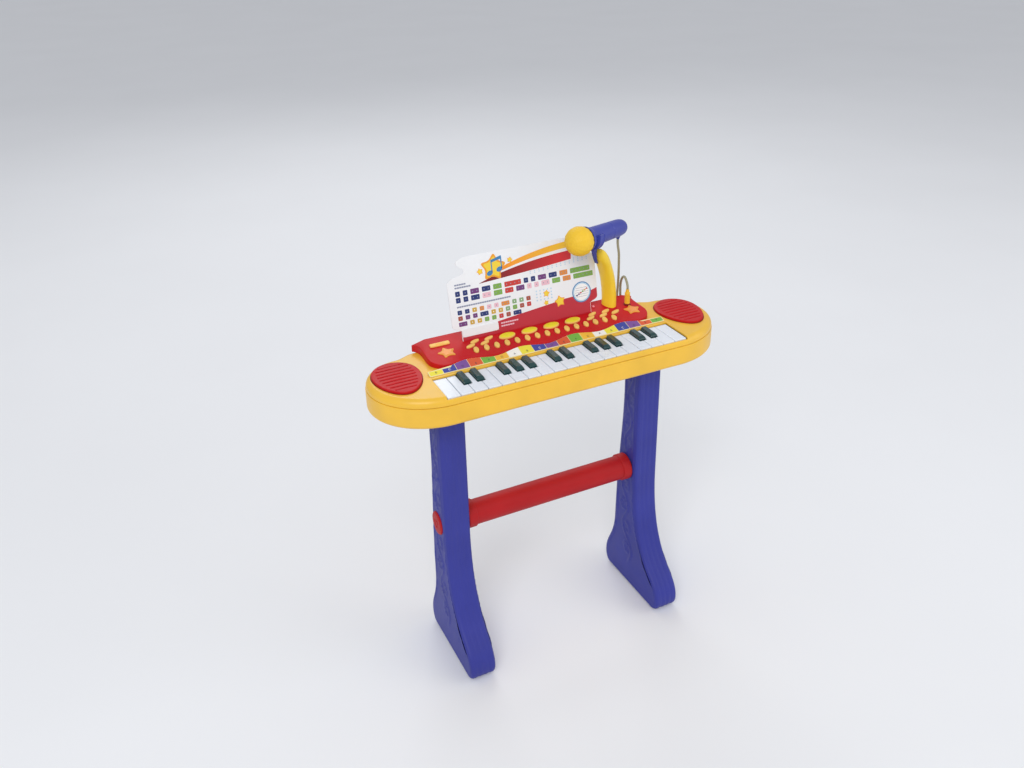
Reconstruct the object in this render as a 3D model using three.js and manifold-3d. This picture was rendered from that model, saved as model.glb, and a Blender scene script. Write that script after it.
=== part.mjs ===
// Toy electronic keyboard on its own stand, with a microphone on a curved arm.
// Millimetres. +X to the player's right, +Y away from the player, +Z up. The origin is on the floor,
// at the middle of the object's footprint.

import * as THREE from 'three';
import { mergeVertices } from 'three/addons/utils/BufferGeometryUtils.js';
import { ConvexGeometry } from 'three/addons/geometries/ConvexGeometry.js';
import Module from 'manifold-3d';

const wasm = await Module();
wasm.setup();

// ---------------------------------------------------------------- driving dimensions
// Heights are measured from a level 10 mm above the floor, and depths from the middle of the case.
const FLOOR_Z = -10;
const GAP = 0.3;                 // between pieces that touch
const WALL = 3;                  // case and panel walls

const CASE_HALF_X = 248;
const CASE_FRONT = -71;
const CASE_BACK = 67;
const CASE_END_BACK = 58;        // the rounded ends stop short of the middle's back edge
const CASE_WAIST = 4;            // depth at which the case is widest
const FRONT_CORNER_X = 85;
const BACK_CORNER_X = 53;
const SHOULDER_X = 166;          // where the back edge starts to curve in
const BASE_Z = 392;
const PARTING_Z = 421;
const DECK_Z = 432;

const WHITE_KEYS = 19;
const KEY_PITCH = 18;
const KEY_GAP = 0.8;
const KEY_FRONT = -66;
const KEY_TOP = 430;
const KEY_BOTTOM = 420;
const KEY_TAIL_TOP = 427;
const KEY_TAIL_END = 9;
const KEY_SKIN = 1.6;
const DECK_EDGE = -16.5;         // front edge of the deck behind the keys
const BLACK_WIDTH = 9.6;
const BLACK_FRONT = -44;
const BLACK_TOP = 434;
const BLACK_AFTER = [2, 3, 5, 6, 7, 9, 10, 12, 13, 14, 16, 17];  // each black key follows this white key
const NOTCH_CLEARANCE = 0.8;
const WELL_HALF_X = WHITE_KEYS * KEY_PITCH / 2 + 0.8;

const PANEL_FRONT = 0;
const PANEL_BACK = 66;
const PANEL_HALF_X = 168;
const PANEL_FRONT_Z = 437.6;
const PANEL_SLOPE = 0.14;
const PANEL_WAVE = 3;
const PANEL_WAVE_LENGTH = 76;
const WAVE_END = 140;
const WAVE_STEPS = 28;
const PANEL_SKIN = 2.5;

const BOARD_MIDDLE_X = -8.5;
const BOARD_HALF_X = 108;
const BOARD_HEIGHT = 113;
const BOARD_TENON = 12;           // how far its lower corners are cut back
const BOARD_FOOT = [40.9, 438.9];    // depth and height of its lower edge
const BOARD_LEAN = THREE.MathUtils.degToRad(12);
const BOARD_THICKNESS = 2;
const SLOT_HALF_X = BOARD_HALF_X - BOARD_TENON + 0.6;

const LEG_MIDDLE_X = 149;
const LEG_WIDTH = 39;
const LEG_TOP_Z = 412;
const LEG_FRONT = -19;
const LEG_BACK = 20;
const FOOT_FRONT = -88;
const FOOT_BACK = 58;
const BAR_DEPTH = 6;
const BAR_Z = 199;
const BAR_RADIUS = 17.5;

const BUTTON_PROUD = 1.3;
const MAT_Z = 427;               // underside of the rubber mats
const MAT_THICKNESS = 1.5;

const ARM_FOOT = [119, 47];
const ARM_DIRECTION = new THREE.Vector2(-0.9, -0.436).normalize();
const ARM_THICKNESS = 21;
const MIC_BALL = new THREE.Vector3(56.4, 21.6, 558);
const MIC_AXIS = new THREE.Vector3(0.93, 0.355, -0.047).normalize();
const MIC_BALL_RADIUS = 19.5;
const MIC_LENGTH = 94;
const MIC_CLIP_AT = 26;          // along the axis from the middle of the ball
const MIC_CORD_AT = 83;
const CORD_RADIUS = 1.7;
const JACK = [144, 39];

// ---------------------------------------------------------------- colours
const YELLOW = { color: 0xeec048, roughness: 0.38 };
const RED = { color: 0xd02f35, roughness: 0.35 };
const BLUE = { color: 0x48509c, roughness: 0.45 };
const WHITE = { color: 0xf2f4f6, roughness: 0.3 };
const BLACK = { color: 0x16262a, roughness: 0.3 };
const BUTTON = { color: 0xf5c860, roughness: 0.5 };
const LEMON = { color: 0xeedc40, roughness: 0.45 };
const METAL = { color: 0xb8b8bc, roughness: 0.3, metalness: 1 };
const BOARD_GREEN = { color: 0x2e6b3a, roughness: 0.5 };
const PAPER = { color: 0x24262a, roughness: 0.8 };
const CORD = { color: 0x9a9688, roughness: 0.6 };

// ---------------------------------------------------------------- helpers
const keyboard = new THREE.Group();
keyboard.position.set(0, -(FOOT_FRONT + CASE_BACK) / 2, -FLOOR_Z);

function solid(geometry) {
  geometry.deleteAttribute('normal');
  if (geometry.hasAttribute('uv')) geometry.deleteAttribute('uv');
  const merged = mergeVertices(geometry, 1e-4);
  return new wasm.Manifold(new wasm.Mesh({
    numProp: 3,
    vertProperties: new Float32Array(merged.attributes.position.array),
    triVerts: new Uint32Array(merged.index.array),
  }));
}

function geometryOf(body) {
  const { vertProperties, triVerts } = body.getMesh();
  const geometry = new THREE.BufferGeometry();
  geometry.setAttribute('position', new THREE.BufferAttribute(new Float32Array(vertProperties), 3));
  geometry.setIndex(new THREE.BufferAttribute(new Uint32Array(triVerts), 1));
  geometry.computeVertexNormals();
  return geometry;
}

function piece(name, shape, look) {
  const mesh = new THREE.Mesh(geometryOf(shape), new THREE.MeshStandardMaterial({ metalness: 0, ...look }));
  mesh.name = name;
  keyboard.add(mesh);
  return mesh;
}

const box = (x0, x1, y0, y1, z0, z1) => solid(
  new THREE.BoxGeometry(x1 - x0, y1 - y0, z1 - z0).translate((x0 + x1) / 2, (y0 + y1) / 2, (z0 + z1) / 2));

const post = (x, y, z0, z1, radius, sides = 24) => solid(
  new THREE.CylinderGeometry(radius, radius, z1 - z0, sides).rotateX(Math.PI / 2)
    .translate(x, y, (z0 + z1) / 2));

const rod = (x0, x1, y, z, radius, sides = 32) => solid(
  new THREE.CylinderGeometry(radius, radius, x1 - x0, sides).rotateZ(Math.PI / 2)
    .translate((x0 + x1) / 2, y, z));

const unite = (bodies) => bodies.reduce((whole, body) => whole.add(body));

// A plate whose outline lies flat and whose edges are rounded top and bottom by `round`.
function plate(outline, z0, z1, round = 0, segments = 5, roundSteps = 2) {
  return solid(new THREE.ExtrudeGeometry(outline, {
    depth: z1 - z0 - 2 * round,
    bevelEnabled: round > 0,
    bevelThickness: round,
    bevelSize: round,
    bevelOffset: -round,
    bevelSegments: roundSteps,
    curveSegments: segments,
  }).translate(0, 0, z0 + round));
}

// A profile drawn in depth and height, standing across X.
function slab(profile, x0, x1, round = 0, segments = 4) {
  const geometry = new THREE.ExtrudeGeometry(profile, {
    depth: x1 - x0 - 2 * round,
    bevelEnabled: round > 0,
    bevelThickness: round,
    bevelSize: round,
    bevelOffset: -round,
    bevelSegments: 1,
    curveSegments: segments,
  }).translate(0, 0, x0 + round);
  const turn = new THREE.Matrix4().makeBasis(
    new THREE.Vector3(0, 1, 0), new THREE.Vector3(0, 0, 1), new THREE.Vector3(1, 0, 0));
  return solid(geometry.applyMatrix4(turn));
}

function oval(x, y, radiusX, radiusY, turn = 0) {
  const outline = new THREE.Shape();
  outline.absellipse(x, y, radiusX, radiusY, 0, 2 * Math.PI, false, turn);
  return outline;
}

function polygon(points) {
  return new THREE.Shape(points.map(([x, y]) => new THREE.Vector2(x, y)));
}

// ---------------------------------------------------------------- case
function caseOutline(inset) {
  const halfX = CASE_HALF_X - inset;
  const frontX = CASE_HALF_X - FRONT_CORNER_X;
  const endX = CASE_HALF_X - BACK_CORNER_X;
  const front = CASE_FRONT + inset;
  const endBack = CASE_END_BACK - inset;
  const outline = new THREE.Shape();
  outline.moveTo(-frontX, front);
  outline.lineTo(frontX, front);
  outline.absellipse(frontX, CASE_WAIST, halfX - frontX, CASE_WAIST - front, -Math.PI / 2, 0);
  outline.absellipse(endX, CASE_WAIST, halfX - endX, endBack - CASE_WAIST, 0, Math.PI / 2);
  const back = CASE_BACK - inset;
  outline.bezierCurveTo(endX - 12, endBack, SHOULDER_X + 12, back, SHOULDER_X, back);
  outline.lineTo(-SHOULDER_X, back);
  outline.bezierCurveTo(-SHOULDER_X - 12, back, -endX + 12, endBack, -endX, endBack);
  outline.absellipse(-endX, CASE_WAIST, halfX - endX, endBack - CASE_WAIST, Math.PI / 2, Math.PI);
  outline.absellipse(-frontX, CASE_WAIST, halfX - frontX, CASE_WAIST - front, Math.PI, Math.PI * 1.5);
  return outline;
}

const BAY = { x: 46, front: -44, back: -6, top: 411 };
const COVER_Z = 389.9;
const RAIL_Z = 387.5;
const LIP_Z = 428.5;              // top of the case in front of the keys
const MEDIA_PORT = { x: -60, halfX: 7, bottom: 412.5 };

function lowerCase() {
  const wide = CASE_HALF_X + 20;
  let body = plate(caseOutline(0), BASE_Z, PARTING_Z + 20, 6);
  body = body.subtract(box(-wide, wide, -wide, wide, PARTING_Z, PARTING_Z + 30));
  body = body.subtract(plate(caseOutline(WALL), BASE_Z + WALL, PARTING_Z + 20));

  const inside = [box(-WELL_HALF_X, WELL_HALF_X, 3, KEY_TAIL_END, BASE_Z + 1, 418.6)];   // key rail
  inside.push(box(-BAY.x - 2, BAY.x + 2, BAY.front - 2, BAY.back + 2, BASE_Z + 1, BAY.top + 2));
  for (const side of [-1, 1]) {
    const x = side * LEG_MIDDLE_X;
    const half = LEG_WIDTH / 2 + GAP + 2.5;
    inside.push(box(x - half, x + half, LEG_FRONT - 2.8, LEG_BACK + 2.8, BASE_Z + 1, LEG_TOP_Z + 2.5));
    for (const y of [-52, 48]) inside.push(post(side * 188, y, BASE_Z + 1, PARTING_Z - GAP, 4, 12));
    for (const y of [24, 56]) inside.push(post(side * 100, y, BASE_Z + 1, 419.7, 3, 12));
  }
  body = unite([body, ...inside]);

  for (const side of [-1, 1]) {
    const x = side * LEG_MIDDLE_X;
    const half = LEG_WIDTH / 2 + GAP;
    body = body.subtract(box(x - half, x + half, LEG_FRONT - GAP, LEG_BACK + GAP, BASE_Z - 1, LEG_TOP_Z + GAP));
  }
  body = body.subtract(box(-BAY.x, BAY.x, BAY.front, BAY.back, BASE_Z - 1, BAY.top));
  body = body.subtract(box(MEDIA_PORT.x - MEDIA_PORT.halfX - GAP, MEDIA_PORT.x + MEDIA_PORT.halfX + GAP,
    CASE_BACK - 5, CASE_BACK + 1, MEDIA_PORT.bottom - GAP, PARTING_Z + 1));

  // Guide rails that hold the battery cover, with a stop across their front end.
  const rails = [box(-53.3, 53.3, BAY.front - 6.3, BAY.front - 4.3, RAIL_Z, BASE_Z + 1)];
  for (const side of [-1, 1]) {
    const rail = [[47, RAIL_Z], [53.3, RAIL_Z], [53.3, BASE_Z + 1], [50.3, BASE_Z + 1], [50.3, COVER_Z - GAP],
      [47, COVER_Z - GAP]];
    const points = rail.map(([x, z]) => [side * x, z]);
    const along = new THREE.ExtrudeGeometry(polygon(side > 0 ? points : points.reverse()),
      { depth: 90, bevelEnabled: false }).rotateX(Math.PI / 2).translate(0, BAY.front + 85, 0);
    rails.push(solid(along));
  }
  return unite([body, ...rails]);
}

const SPEAKER_X = 208;
const SPEAKER_Y = 3;
const GRILLE_HALF_X = 30;
const GRILLE_HALF_Y = 41;
const GRILLE_FLARE = 0.16;       // how much wider it is at the back than in the middle
const SLOT_PITCH = 7.6;

function upperCase() {
  const wide = CASE_HALF_X + 20;
  let body = plate(caseOutline(0.8), PARTING_Z - 20, DECK_Z, 8);
  body = body.subtract(plate(caseOutline(0.8 + WALL), PARTING_Z - 30, DECK_Z - 2.5));
  body = body.subtract(box(-wide, wide, -wide, wide, PARTING_Z - 40, PARTING_Z + GAP));
  body = body.subtract(box(-WELL_HALF_X, WELL_HALF_X, KEY_FRONT - 1, DECK_EDGE, PARTING_Z - 10, DECK_Z + 10));
  body = body.subtract(box(-WELL_HALF_X, WELL_HALF_X, CASE_FRONT - 5, KEY_FRONT, LIP_Z, DECK_Z + 10));
  body = body.subtract(box(-126, 130, 7, 39, DECK_Z - 10, DECK_Z + 10));               // under the buttons
  body = body.subtract(box(-151, -125, 38, 50, DECK_Z - 10, DECK_Z + 10));             // under the switch
  for (const side of [-1, 1]) {
    body = body.subtract(post(side * SPEAKER_X, SPEAKER_Y, DECK_Z - 10, DECK_Z + 10, 25, 32));
  }
  return body;
}

function batteryCover() {
  const lid = box(-50, 50, BAY.front - 4, BAY.back + 4, COVER_Z, BASE_Z - GAP);
  const grip = [-10, -6, -2].map((y) =>
    box(-12, 12, BAY.back + y, BAY.back + y + 2, COVER_Z - 1.3, COVER_Z + 0.6));
  return unite([lid, ...grip]);
}

// ---------------------------------------------------------------- keys
const keyEdge = (i) => (i - WHITE_KEYS / 2) * KEY_PITCH;

function whiteKeyOutline(index, inset) {
  const left = keyEdge(index - 1) + KEY_GAP / 2 + inset;
  const right = keyEdge(index) - KEY_GAP / 2 - inset;
  const notch = BLACK_WIDTH / 2 + NOTCH_CLEARANCE + inset;
  const shoulder = BLACK_FRONT - 1.5 - inset;
  const front = KEY_FRONT + inset;
  const back = KEY_TAIL_END - inset;
  const points = [[left, front], [right, front]];
  if (BLACK_AFTER.includes(index)) {
    points.push([right, shoulder], [keyEdge(index) - notch, shoulder], [keyEdge(index) - notch, back]);
  } else {
    points.push([right, back]);
  }
  if (BLACK_AFTER.includes(index - 1)) {
    points.push([keyEdge(index - 1) + notch, back], [keyEdge(index - 1) + notch, shoulder], [left, shoulder]);
  } else {
    points.push([left, back]);
  }
  return polygon(points);
}

const tailCut = () => box(-200, 200, DECK_EDGE - 0.8, KEY_TAIL_END + 10, KEY_TAIL_TOP, BLACK_TOP + 10);

function whiteKey(index) {
  const skin = plate(whiteKeyOutline(index, 0), KEY_BOTTOM, KEY_TOP);
  const hollow = plate(whiteKeyOutline(index, KEY_SKIN), KEY_BOTTOM - 1, KEY_TAIL_TOP - KEY_SKIN);
  return skin.subtract(hollow).subtract(tailCut());
}

function blackKey(after) {
  const x = keyEdge(after);
  const half = BLACK_WIDTH / 2;
  const side = polygon([[BLACK_FRONT, KEY_BOTTOM], [KEY_TAIL_END, KEY_BOTTOM], [KEY_TAIL_END, BLACK_TOP],
    [BLACK_FRONT + 5, BLACK_TOP], [BLACK_FRONT + 1.5, KEY_TOP + 2]]);
  const chamfer = polygon([[x - half, KEY_BOTTOM - 1], [x + half, KEY_BOTTOM - 1], [x + half, KEY_TOP + 2.5],
    [x + half - 1.4, BLACK_TOP], [x - half + 1.4, BLACK_TOP], [x - half, KEY_TOP + 2.5]]);
  const along = solid(new THREE.ExtrudeGeometry(chamfer, { depth: 120, bevelEnabled: false })
    .rotateX(Math.PI / 2).translate(0, 40, 0));
  const inner = half - KEY_SKIN;
  const hollow = box(x - inner, x + inner, BLACK_FRONT + KEY_SKIN + 1, KEY_TAIL_END - KEY_SKIN,
    KEY_BOTTOM - 1, KEY_TAIL_TOP - KEY_SKIN);
  return slab(side, x - half, x + half).intersect(along).subtract(hollow).subtract(tailCut());
}

// ---------------------------------------------------------------- control panel
const panelZ = (y) => PANEL_FRONT_Z + PANEL_SLOPE * (y - PANEL_FRONT);
const panelWave = (x) => PANEL_FRONT - PANEL_WAVE * Math.cos(2 * Math.PI * (x + 2) / PANEL_WAVE_LENGTH);

function panelOutline(inset) {
  const outline = new THREE.Shape();
  for (let i = 0; i <= WAVE_STEPS; i += 1) {
    const x = -WAVE_END + 2 * WAVE_END * i / WAVE_STEPS;
    if (i === 0) outline.moveTo(x, panelWave(x) + inset);
    else outline.lineTo(x, panelWave(x) + inset);
  }
  const back = PANEL_BACK - inset;
  outline.bezierCurveTo(153 - inset, inset - 0.5, 162.5 - inset, 10, 162 - inset, 24);
  outline.bezierCurveTo(161.5 - inset, 40, 158 - inset, 56, PANEL_HALF_X - 2 * inset, back);
  outline.lineTo(-PANEL_HALF_X + 2 * inset, back);
  outline.bezierCurveTo(-158 + inset, 56, -161.5 + inset, 40, -162 + inset, 24);
  outline.bezierCurveTo(-162.5 + inset, 10, -153 + inset, inset - 0.5, -WAVE_END, panelWave(-WAVE_END) + inset);
  return outline;
}

// Everything under the panel's top, which slopes up to the back and falls away at the back corners.
function underRoof(drop) {
  const front = -14;
  const back = 70;
  const creaseFront = new THREE.Vector3(170.7, front, panelZ(front));
  const creaseBack = new THREE.Vector3(147.8, back, panelZ(back));
  const corner = new THREE.Vector3(PANEL_HALF_X, 62, 440.5);
  const plane = new THREE.Plane().setFromCoplanarPoints(creaseFront, creaseBack, corner);
  const onPlane = (x, y) => -(plane.constant + plane.normal.x * x + plane.normal.y * y) / plane.normal.z;
  const points = [];
  for (const side of [-1, 1]) {
    points.push(new THREE.Vector3(side * creaseFront.x, front, creaseFront.z - drop));
    points.push(new THREE.Vector3(side * creaseBack.x, back, creaseBack.z - drop));
    for (const y of [front, back]) {
      points.push(new THREE.Vector3(side * 200, y, onPlane(200, y) - drop));
      points.push(new THREE.Vector3(side * 200, y, 400));
    }
  }
  return solid(new ConvexGeometry(points));
}

const SMALL_OVALS = Array.from({ length: 15 }, (_, i) =>
  ({ x: 6 + 14.7 * (i - 7), y: 16, rx: 3.6, ry: 6, turn: -0.2 }));
const BIG_OVALS = Array.from({ length: 4 }, (_, i) =>
  ({ x: 3 + 32.7 * (i - 1.5), y: 30.5, rx: 12, ry: 6, turn: 0.08 }));
const leaf = (x, y) => ({ x, y, rx: 7, ry: 2.7, turn: 0.3 });
const LEFT_LEAVES = [leaf(-91, 34.4), leaf(-100, 26.6), leaf(-71, 34.4), leaf(-80, 26.6)];
const RIGHT_LEAVES = [leaf(85, 34.4), leaf(78, 26.6), leaf(106, 34.4), leaf(98, 26.6), leaf(118, 28)];
const SWITCH = { x: -136, y: 44, halfX: 13.5, halfY: 3, travel: 4.5 };

const boardPoint = (height) => [BOARD_FOOT[0] + height * Math.sin(BOARD_LEAN),
  BOARD_FOOT[1] + height * Math.cos(BOARD_LEAN)];

function leaning(geometry) {
  const [y, z] = boardPoint(0);
  return geometry.rotateX(Math.PI / 2 - BOARD_LEAN).translate(BOARD_MIDDLE_X, y, z);
}

function controlPanel() {
  const hollow = plate(panelOutline(PANEL_SKIN), DECK_Z - 5, 460).intersect(underRoof(PANEL_SKIN))
    .subtract(box(BOARD_MIDDLE_X - SLOT_HALF_X - 4, BOARD_MIDDLE_X + SLOT_HALF_X + 4, 39, 45.5, 436.5, 460))
    .subtract(post(...ARM_FOOT, DECK_Z - 6, 470, 15, 24));
  let body = plate(panelOutline(0), DECK_Z + GAP, 460).intersect(underRoof(0)).subtract(hollow);

  const slot = new THREE.BoxGeometry(2 * SLOT_HALF_X, 30, BOARD_THICKNESS + 2 * GAP).translate(0, 15 - GAP, 0);
  body = body.subtract(solid(leaning(slot)));
  body = body.subtract(armBody(GAP).intersect(box(90, 150, 20, 80, 433.7, 470)));
  body = body.subtract(post(...JACK, DECK_Z - 5, 470, 4.6));
  for (const b of [...SMALL_OVALS, ...BIG_OVALS, ...LEFT_LEAVES, ...RIGHT_LEAVES]) {
    body = body.subtract(plate(oval(b.x, b.y, b.rx + 0.5, b.ry + 0.5, b.turn), DECK_Z - 5, 470, 0, 6));
  }
  const slotHalf = SWITCH.travel + 4.3;
  return body.subtract(box(SWITCH.x - slotHalf, SWITCH.x + slotHalf, SWITCH.y - 1.9, SWITCH.y + 1.9, 420, 470));
}

// A button top: an oval column whose upper face follows the panel's slope.
function buttonTop(b) {
  const geometry = new THREE.ExtrudeGeometry(oval(b.x, b.y, b.rx, b.ry, b.turn),
    { depth: 10, bevelEnabled: false, curveSegments: 6 }).translate(0, 0, MAT_Z + MAT_THICKNESS / 2);
  const position = geometry.attributes.position;
  for (let i = 0; i < position.count; i += 1) {
    if (position.getZ(i) > MAT_Z + 5) position.setZ(i, panelZ(position.getY(i)) + BUTTON_PROUD);
  }
  return solid(geometry);
}

function keypad(buttons, marginX, marginY) {
  const xs = buttons.map((b) => b.x);
  const ys = buttons.map((b) => b.y);
  const mat = box(Math.min(...xs) - marginX, Math.max(...xs) + marginX,
    Math.min(...ys) - marginY, Math.max(...ys) + marginY, MAT_Z, MAT_Z + MAT_THICKNESS);
  return unite([mat, ...buttons.map(buttonTop)]);
}

function powerSwitch() {
  const { x, y, halfX, halfY } = SWITCH;
  const top = panelZ(y + halfY) + GAP + 1.6;
  const cap = box(x - halfX, x + halfX, y - halfY, y + halfY, panelZ(y) - 10, top)
    .subtract(underRoof(-GAP));
  const stem = box(x - 4, x + 4, y - 1.5, y + 1.5, DECK_Z - 1, top - 0.5);
  return cap.add(stem);
}

const LABEL_FRONT = DECK_EDGE + 4;
const LABEL_SLOPE = 0.3;
const labelZ = (y) => DECK_Z + GAP + 0.8 + LABEL_SLOPE * (y - LABEL_FRONT);

// A ledge that rises from the keys to the panel, with the note names printed on it.
function labelStrip() {
  const outline = new THREE.Shape();
  outline.moveTo(-WELL_HALF_X, LABEL_FRONT);
  outline.lineTo(WELL_HALF_X, LABEL_FRONT);
  outline.lineTo(WELL_HALF_X, PANEL_FRONT - 4);
  for (let i = 0; i <= WAVE_STEPS; i += 1) {
    const x = WAVE_END - 2 * WAVE_END * i / WAVE_STEPS;
    outline.lineTo(x, panelWave(x) - GAP - 0.2);
  }
  outline.lineTo(-WELL_HALF_X, PANEL_FRONT - 4);
  const under = polygon([[-40, DECK_Z - 10], [20, DECK_Z - 10], [20, labelZ(20)], [-40, labelZ(-40)]]);
  return plate(outline, DECK_Z + GAP, DECK_Z + 12).intersect(slab(under, -WELL_HALF_X - 1, WELL_HALF_X + 1));
}

// ---------------------------------------------------------------- speakers
function grilleOutline(side, inset) {
  const outline = new THREE.Shape();
  const steps = 26;
  for (let i = 0; i <= steps; i += 1) {
    const angle = 2 * Math.PI * i / steps;
    const widen = 1 + GRILLE_FLARE * Math.sin(angle);
    const x = side * SPEAKER_X + side * (GRILLE_HALF_X - inset) * widen * Math.cos(angle);
    const y = SPEAKER_Y + (GRILLE_HALF_Y - inset) * Math.sin(angle);
    if (i === 0) outline.moveTo(x, y);
    else if (i < steps) outline.lineTo(x, y);
  }
  return outline;
}

function speakerGrille(side) {
  let body = plate(grilleOutline(side, 0), DECK_Z + GAP, DECK_Z + GAP + 3.4, 1.4, 5, 1);
  for (let i = -4; i <= 4; i += 1) {
    const rise = i * SLOT_PITCH;
    const sine = rise / GRILLE_HALF_Y;
    const half = 0.78 * GRILLE_HALF_X * (1 + GRILLE_FLARE * sine) * Math.sqrt(1 - sine * sine);
    const x = side * SPEAKER_X;
    const y = SPEAKER_Y + rise;
    body = body.subtract(box(x - half, x + half, y - 1.2, y + 1.2, DECK_Z - 1, DECK_Z + 8));
  }
  return body;
}

function speaker(side) {
  const profile = [[0, 408], [12, 408], [12, 414], [24, 424], [27, 424], [27, 427.5], [24.5, 427.5],
    [23, 426], [8, 418], [5, 420], [0, 421]];
  const points = profile.map(([radius, z]) => new THREE.Vector2(radius, z));
  return solid(new THREE.LatheGeometry(points, 16).rotateX(Math.PI / 2)
    .translate(side * SPEAKER_X, SPEAKER_Y, 0));
}

// ---------------------------------------------------------------- song board
function songBoard() {
  const half = BOARD_HALF_X;
  const top = BOARD_HEIGHT;
  const tenon = half - BOARD_TENON;
  const outline = new THREE.Shape();
  outline.moveTo(-tenon, 0);
  outline.lineTo(tenon, 0);
  outline.lineTo(tenon, 17);
  outline.bezierCurveTo(tenon, 20, half, 19, half, 26);
  outline.lineTo(half, 80);
  outline.bezierCurveTo(half, 90, half - 21, 87, half - 24, 93);
  outline.bezierCurveTo(half - 28, 98, half - 16, 100, half - 15, 105);
  outline.bezierCurveTo(half - 15, 111, half - 24, top, half - 38, top);
  outline.lineTo(-half + 38, top);
  outline.bezierCurveTo(-half + 24, top, -half + 15, 111, -half + 15, 105);
  outline.bezierCurveTo(-half + 16, 100, -half + 28, 98, -half + 24, 93);
  outline.bezierCurveTo(-half + 21, 87, -half, 90, -half, 80);
  outline.lineTo(-half, 26);
  outline.bezierCurveTo(-half, 19, -tenon, 20, -tenon, 17);
  const sheet = new THREE.ExtrudeGeometry(outline,
    { depth: BOARD_THICKNESS, bevelEnabled: false, curveSegments: 5 }).translate(0, 0, -BOARD_THICKNESS / 2);
  return solid(leaning(sheet));
}

// ---------------------------------------------------------------- stand
function legProfile(inset) {
  const outline = new THREE.Shape();
  const low = FLOOR_Z + inset;
  outline.moveTo(FOOT_FRONT + 15 + inset, low);
  outline.lineTo(FOOT_BACK - 14 - inset, low);
  outline.bezierCurveTo(FOOT_BACK - 5 - inset, low, FOOT_BACK - inset, 0, FOOT_BACK - inset, 12);
  outline.bezierCurveTo(FOOT_BACK - inset, 36, 37 - inset, 52, 35 - inset, 90);
  outline.bezierCurveTo(34 - inset, 120, 33 - inset, 160, 29 - inset, BAR_Z);
  outline.bezierCurveTo(25 - inset, 250, LEG_BACK - inset, 280, LEG_BACK - inset, 330);
  outline.lineTo(LEG_BACK - inset, LEG_TOP_Z - inset);
  outline.lineTo(LEG_FRONT + inset, LEG_TOP_Z - inset);
  outline.lineTo(LEG_FRONT + inset, 185);
  outline.bezierCurveTo(-20 + inset, 120, -34 + inset, 78, -62 + inset, 50);
  outline.bezierCurveTo(-78 + inset, 36, FOOT_FRONT + inset, 26, FOOT_FRONT + inset, 8);
  outline.bezierCurveTo(FOOT_FRONT + inset, -2, FOOT_FRONT + 6 + inset, low, FOOT_FRONT + 15 + inset, low);
  return outline;
}

function leg(side) {
  const x0 = side * LEG_MIDDLE_X - LEG_WIDTH / 2;
  const x1 = side * LEG_MIDDLE_X + LEG_WIDTH / 2;
  const hollow = slab(legProfile(WALL), x0 + WALL, x1 - WALL)
    .add(box(x0 + WALL, x1 - WALL, LEG_FRONT + WALL, LEG_BACK - WALL, 380, LEG_TOP_Z + 1));
  return slab(legProfile(0), x0, x1, 3).subtract(hollow)
    .subtract(rod(x0 - 1, x1 + 1, BAR_DEPTH, BAR_Z, BAR_RADIUS - 1 + GAP));
}

function crossbar() {
  const inner = LEG_MIDDLE_X - LEG_WIDTH / 2 - GAP;
  const outer = LEG_MIDDLE_X + LEG_WIDTH / 2 + 2;
  const profile = [[0, -outer], [BAR_RADIUS - 3, -outer], [BAR_RADIUS - 1, -outer + 1.5], [BAR_RADIUS - 1, -inner],
    [BAR_RADIUS + 2, -inner], [BAR_RADIUS + 2, -inner + 4], [BAR_RADIUS, -inner + 6]];
  const half = profile.map(([radius, x]) => new THREE.Vector2(radius, x));
  const mirrored = [...half].reverse().map((p) => new THREE.Vector2(p.x, -p.y));
  return solid(new THREE.LatheGeometry([...half, ...mirrored], 24).rotateZ(-Math.PI / 2)
    .translate(0, BAR_DEPTH, BAR_Z));
}

// ---------------------------------------------------------------- microphone and its arm
// The arm is cut from a plate that stands in the plane of the microphone: `reach` runs towards the ball.
function armPlane(outline, thickness, aside = 0) {
  const geometry = new THREE.ExtrudeGeometry(outline,
    { depth: thickness, bevelEnabled: false, curveSegments: 6 }).translate(0, 0, aside - thickness / 2);
  const reach = new THREE.Vector3(ARM_DIRECTION.x, ARM_DIRECTION.y, 0);
  const up = new THREE.Vector3(0, 0, 1);
  const across = new THREE.Vector3().crossVectors(reach, up);
  const placed = new THREE.Matrix4().makeBasis(reach, up, across).setPosition(...ARM_FOOT, 0);
  return solid(geometry.applyMatrix4(placed));
}

function armBody(grow) {
  const outline = new THREE.Shape();
  outline.moveTo(-7.5 - grow, 434);
  outline.lineTo(7.5 + grow, 434);
  outline.lineTo(7 + grow, 455);
  outline.bezierCurveTo(8.5 + grow, 480, 16 + grow, 501, 26 + grow, 516);
  outline.bezierCurveTo(29.5 + grow, 522, 31 + grow, 530, 28.5 + grow, 537);
  outline.bezierCurveTo(22 - grow, 535, 14 - grow, 526, 8 - grow, 513);
  outline.bezierCurveTo(-grow, 496, -6.5 - grow, 478, -7 - grow, 455);
  return armPlane(outline, ARM_THICKNESS + 2 * grow);
}

const micUp = new THREE.Vector3(0, 0, 1).addScaledVector(MIC_AXIS, -MIC_AXIS.z).normalize();

// Turns a lathe whose axis is +Y into one along the microphone, starting at the middle of its ball.
function alongMic(geometry) {
  const micSide = new THREE.Vector3().crossVectors(micUp, MIC_AXIS);
  const placed = new THREE.Matrix4().makeBasis(micUp, MIC_AXIS, micSide).setPosition(MIC_BALL);
  return solid(geometry.applyMatrix4(placed));
}

const lathe = (profile, sides) => new THREE.LatheGeometry(
  profile.map(([radius, along]) => new THREE.Vector2(radius, along)), sides);

const CUP = 11;                  // where the ball sinks into the handle's cup

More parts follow.
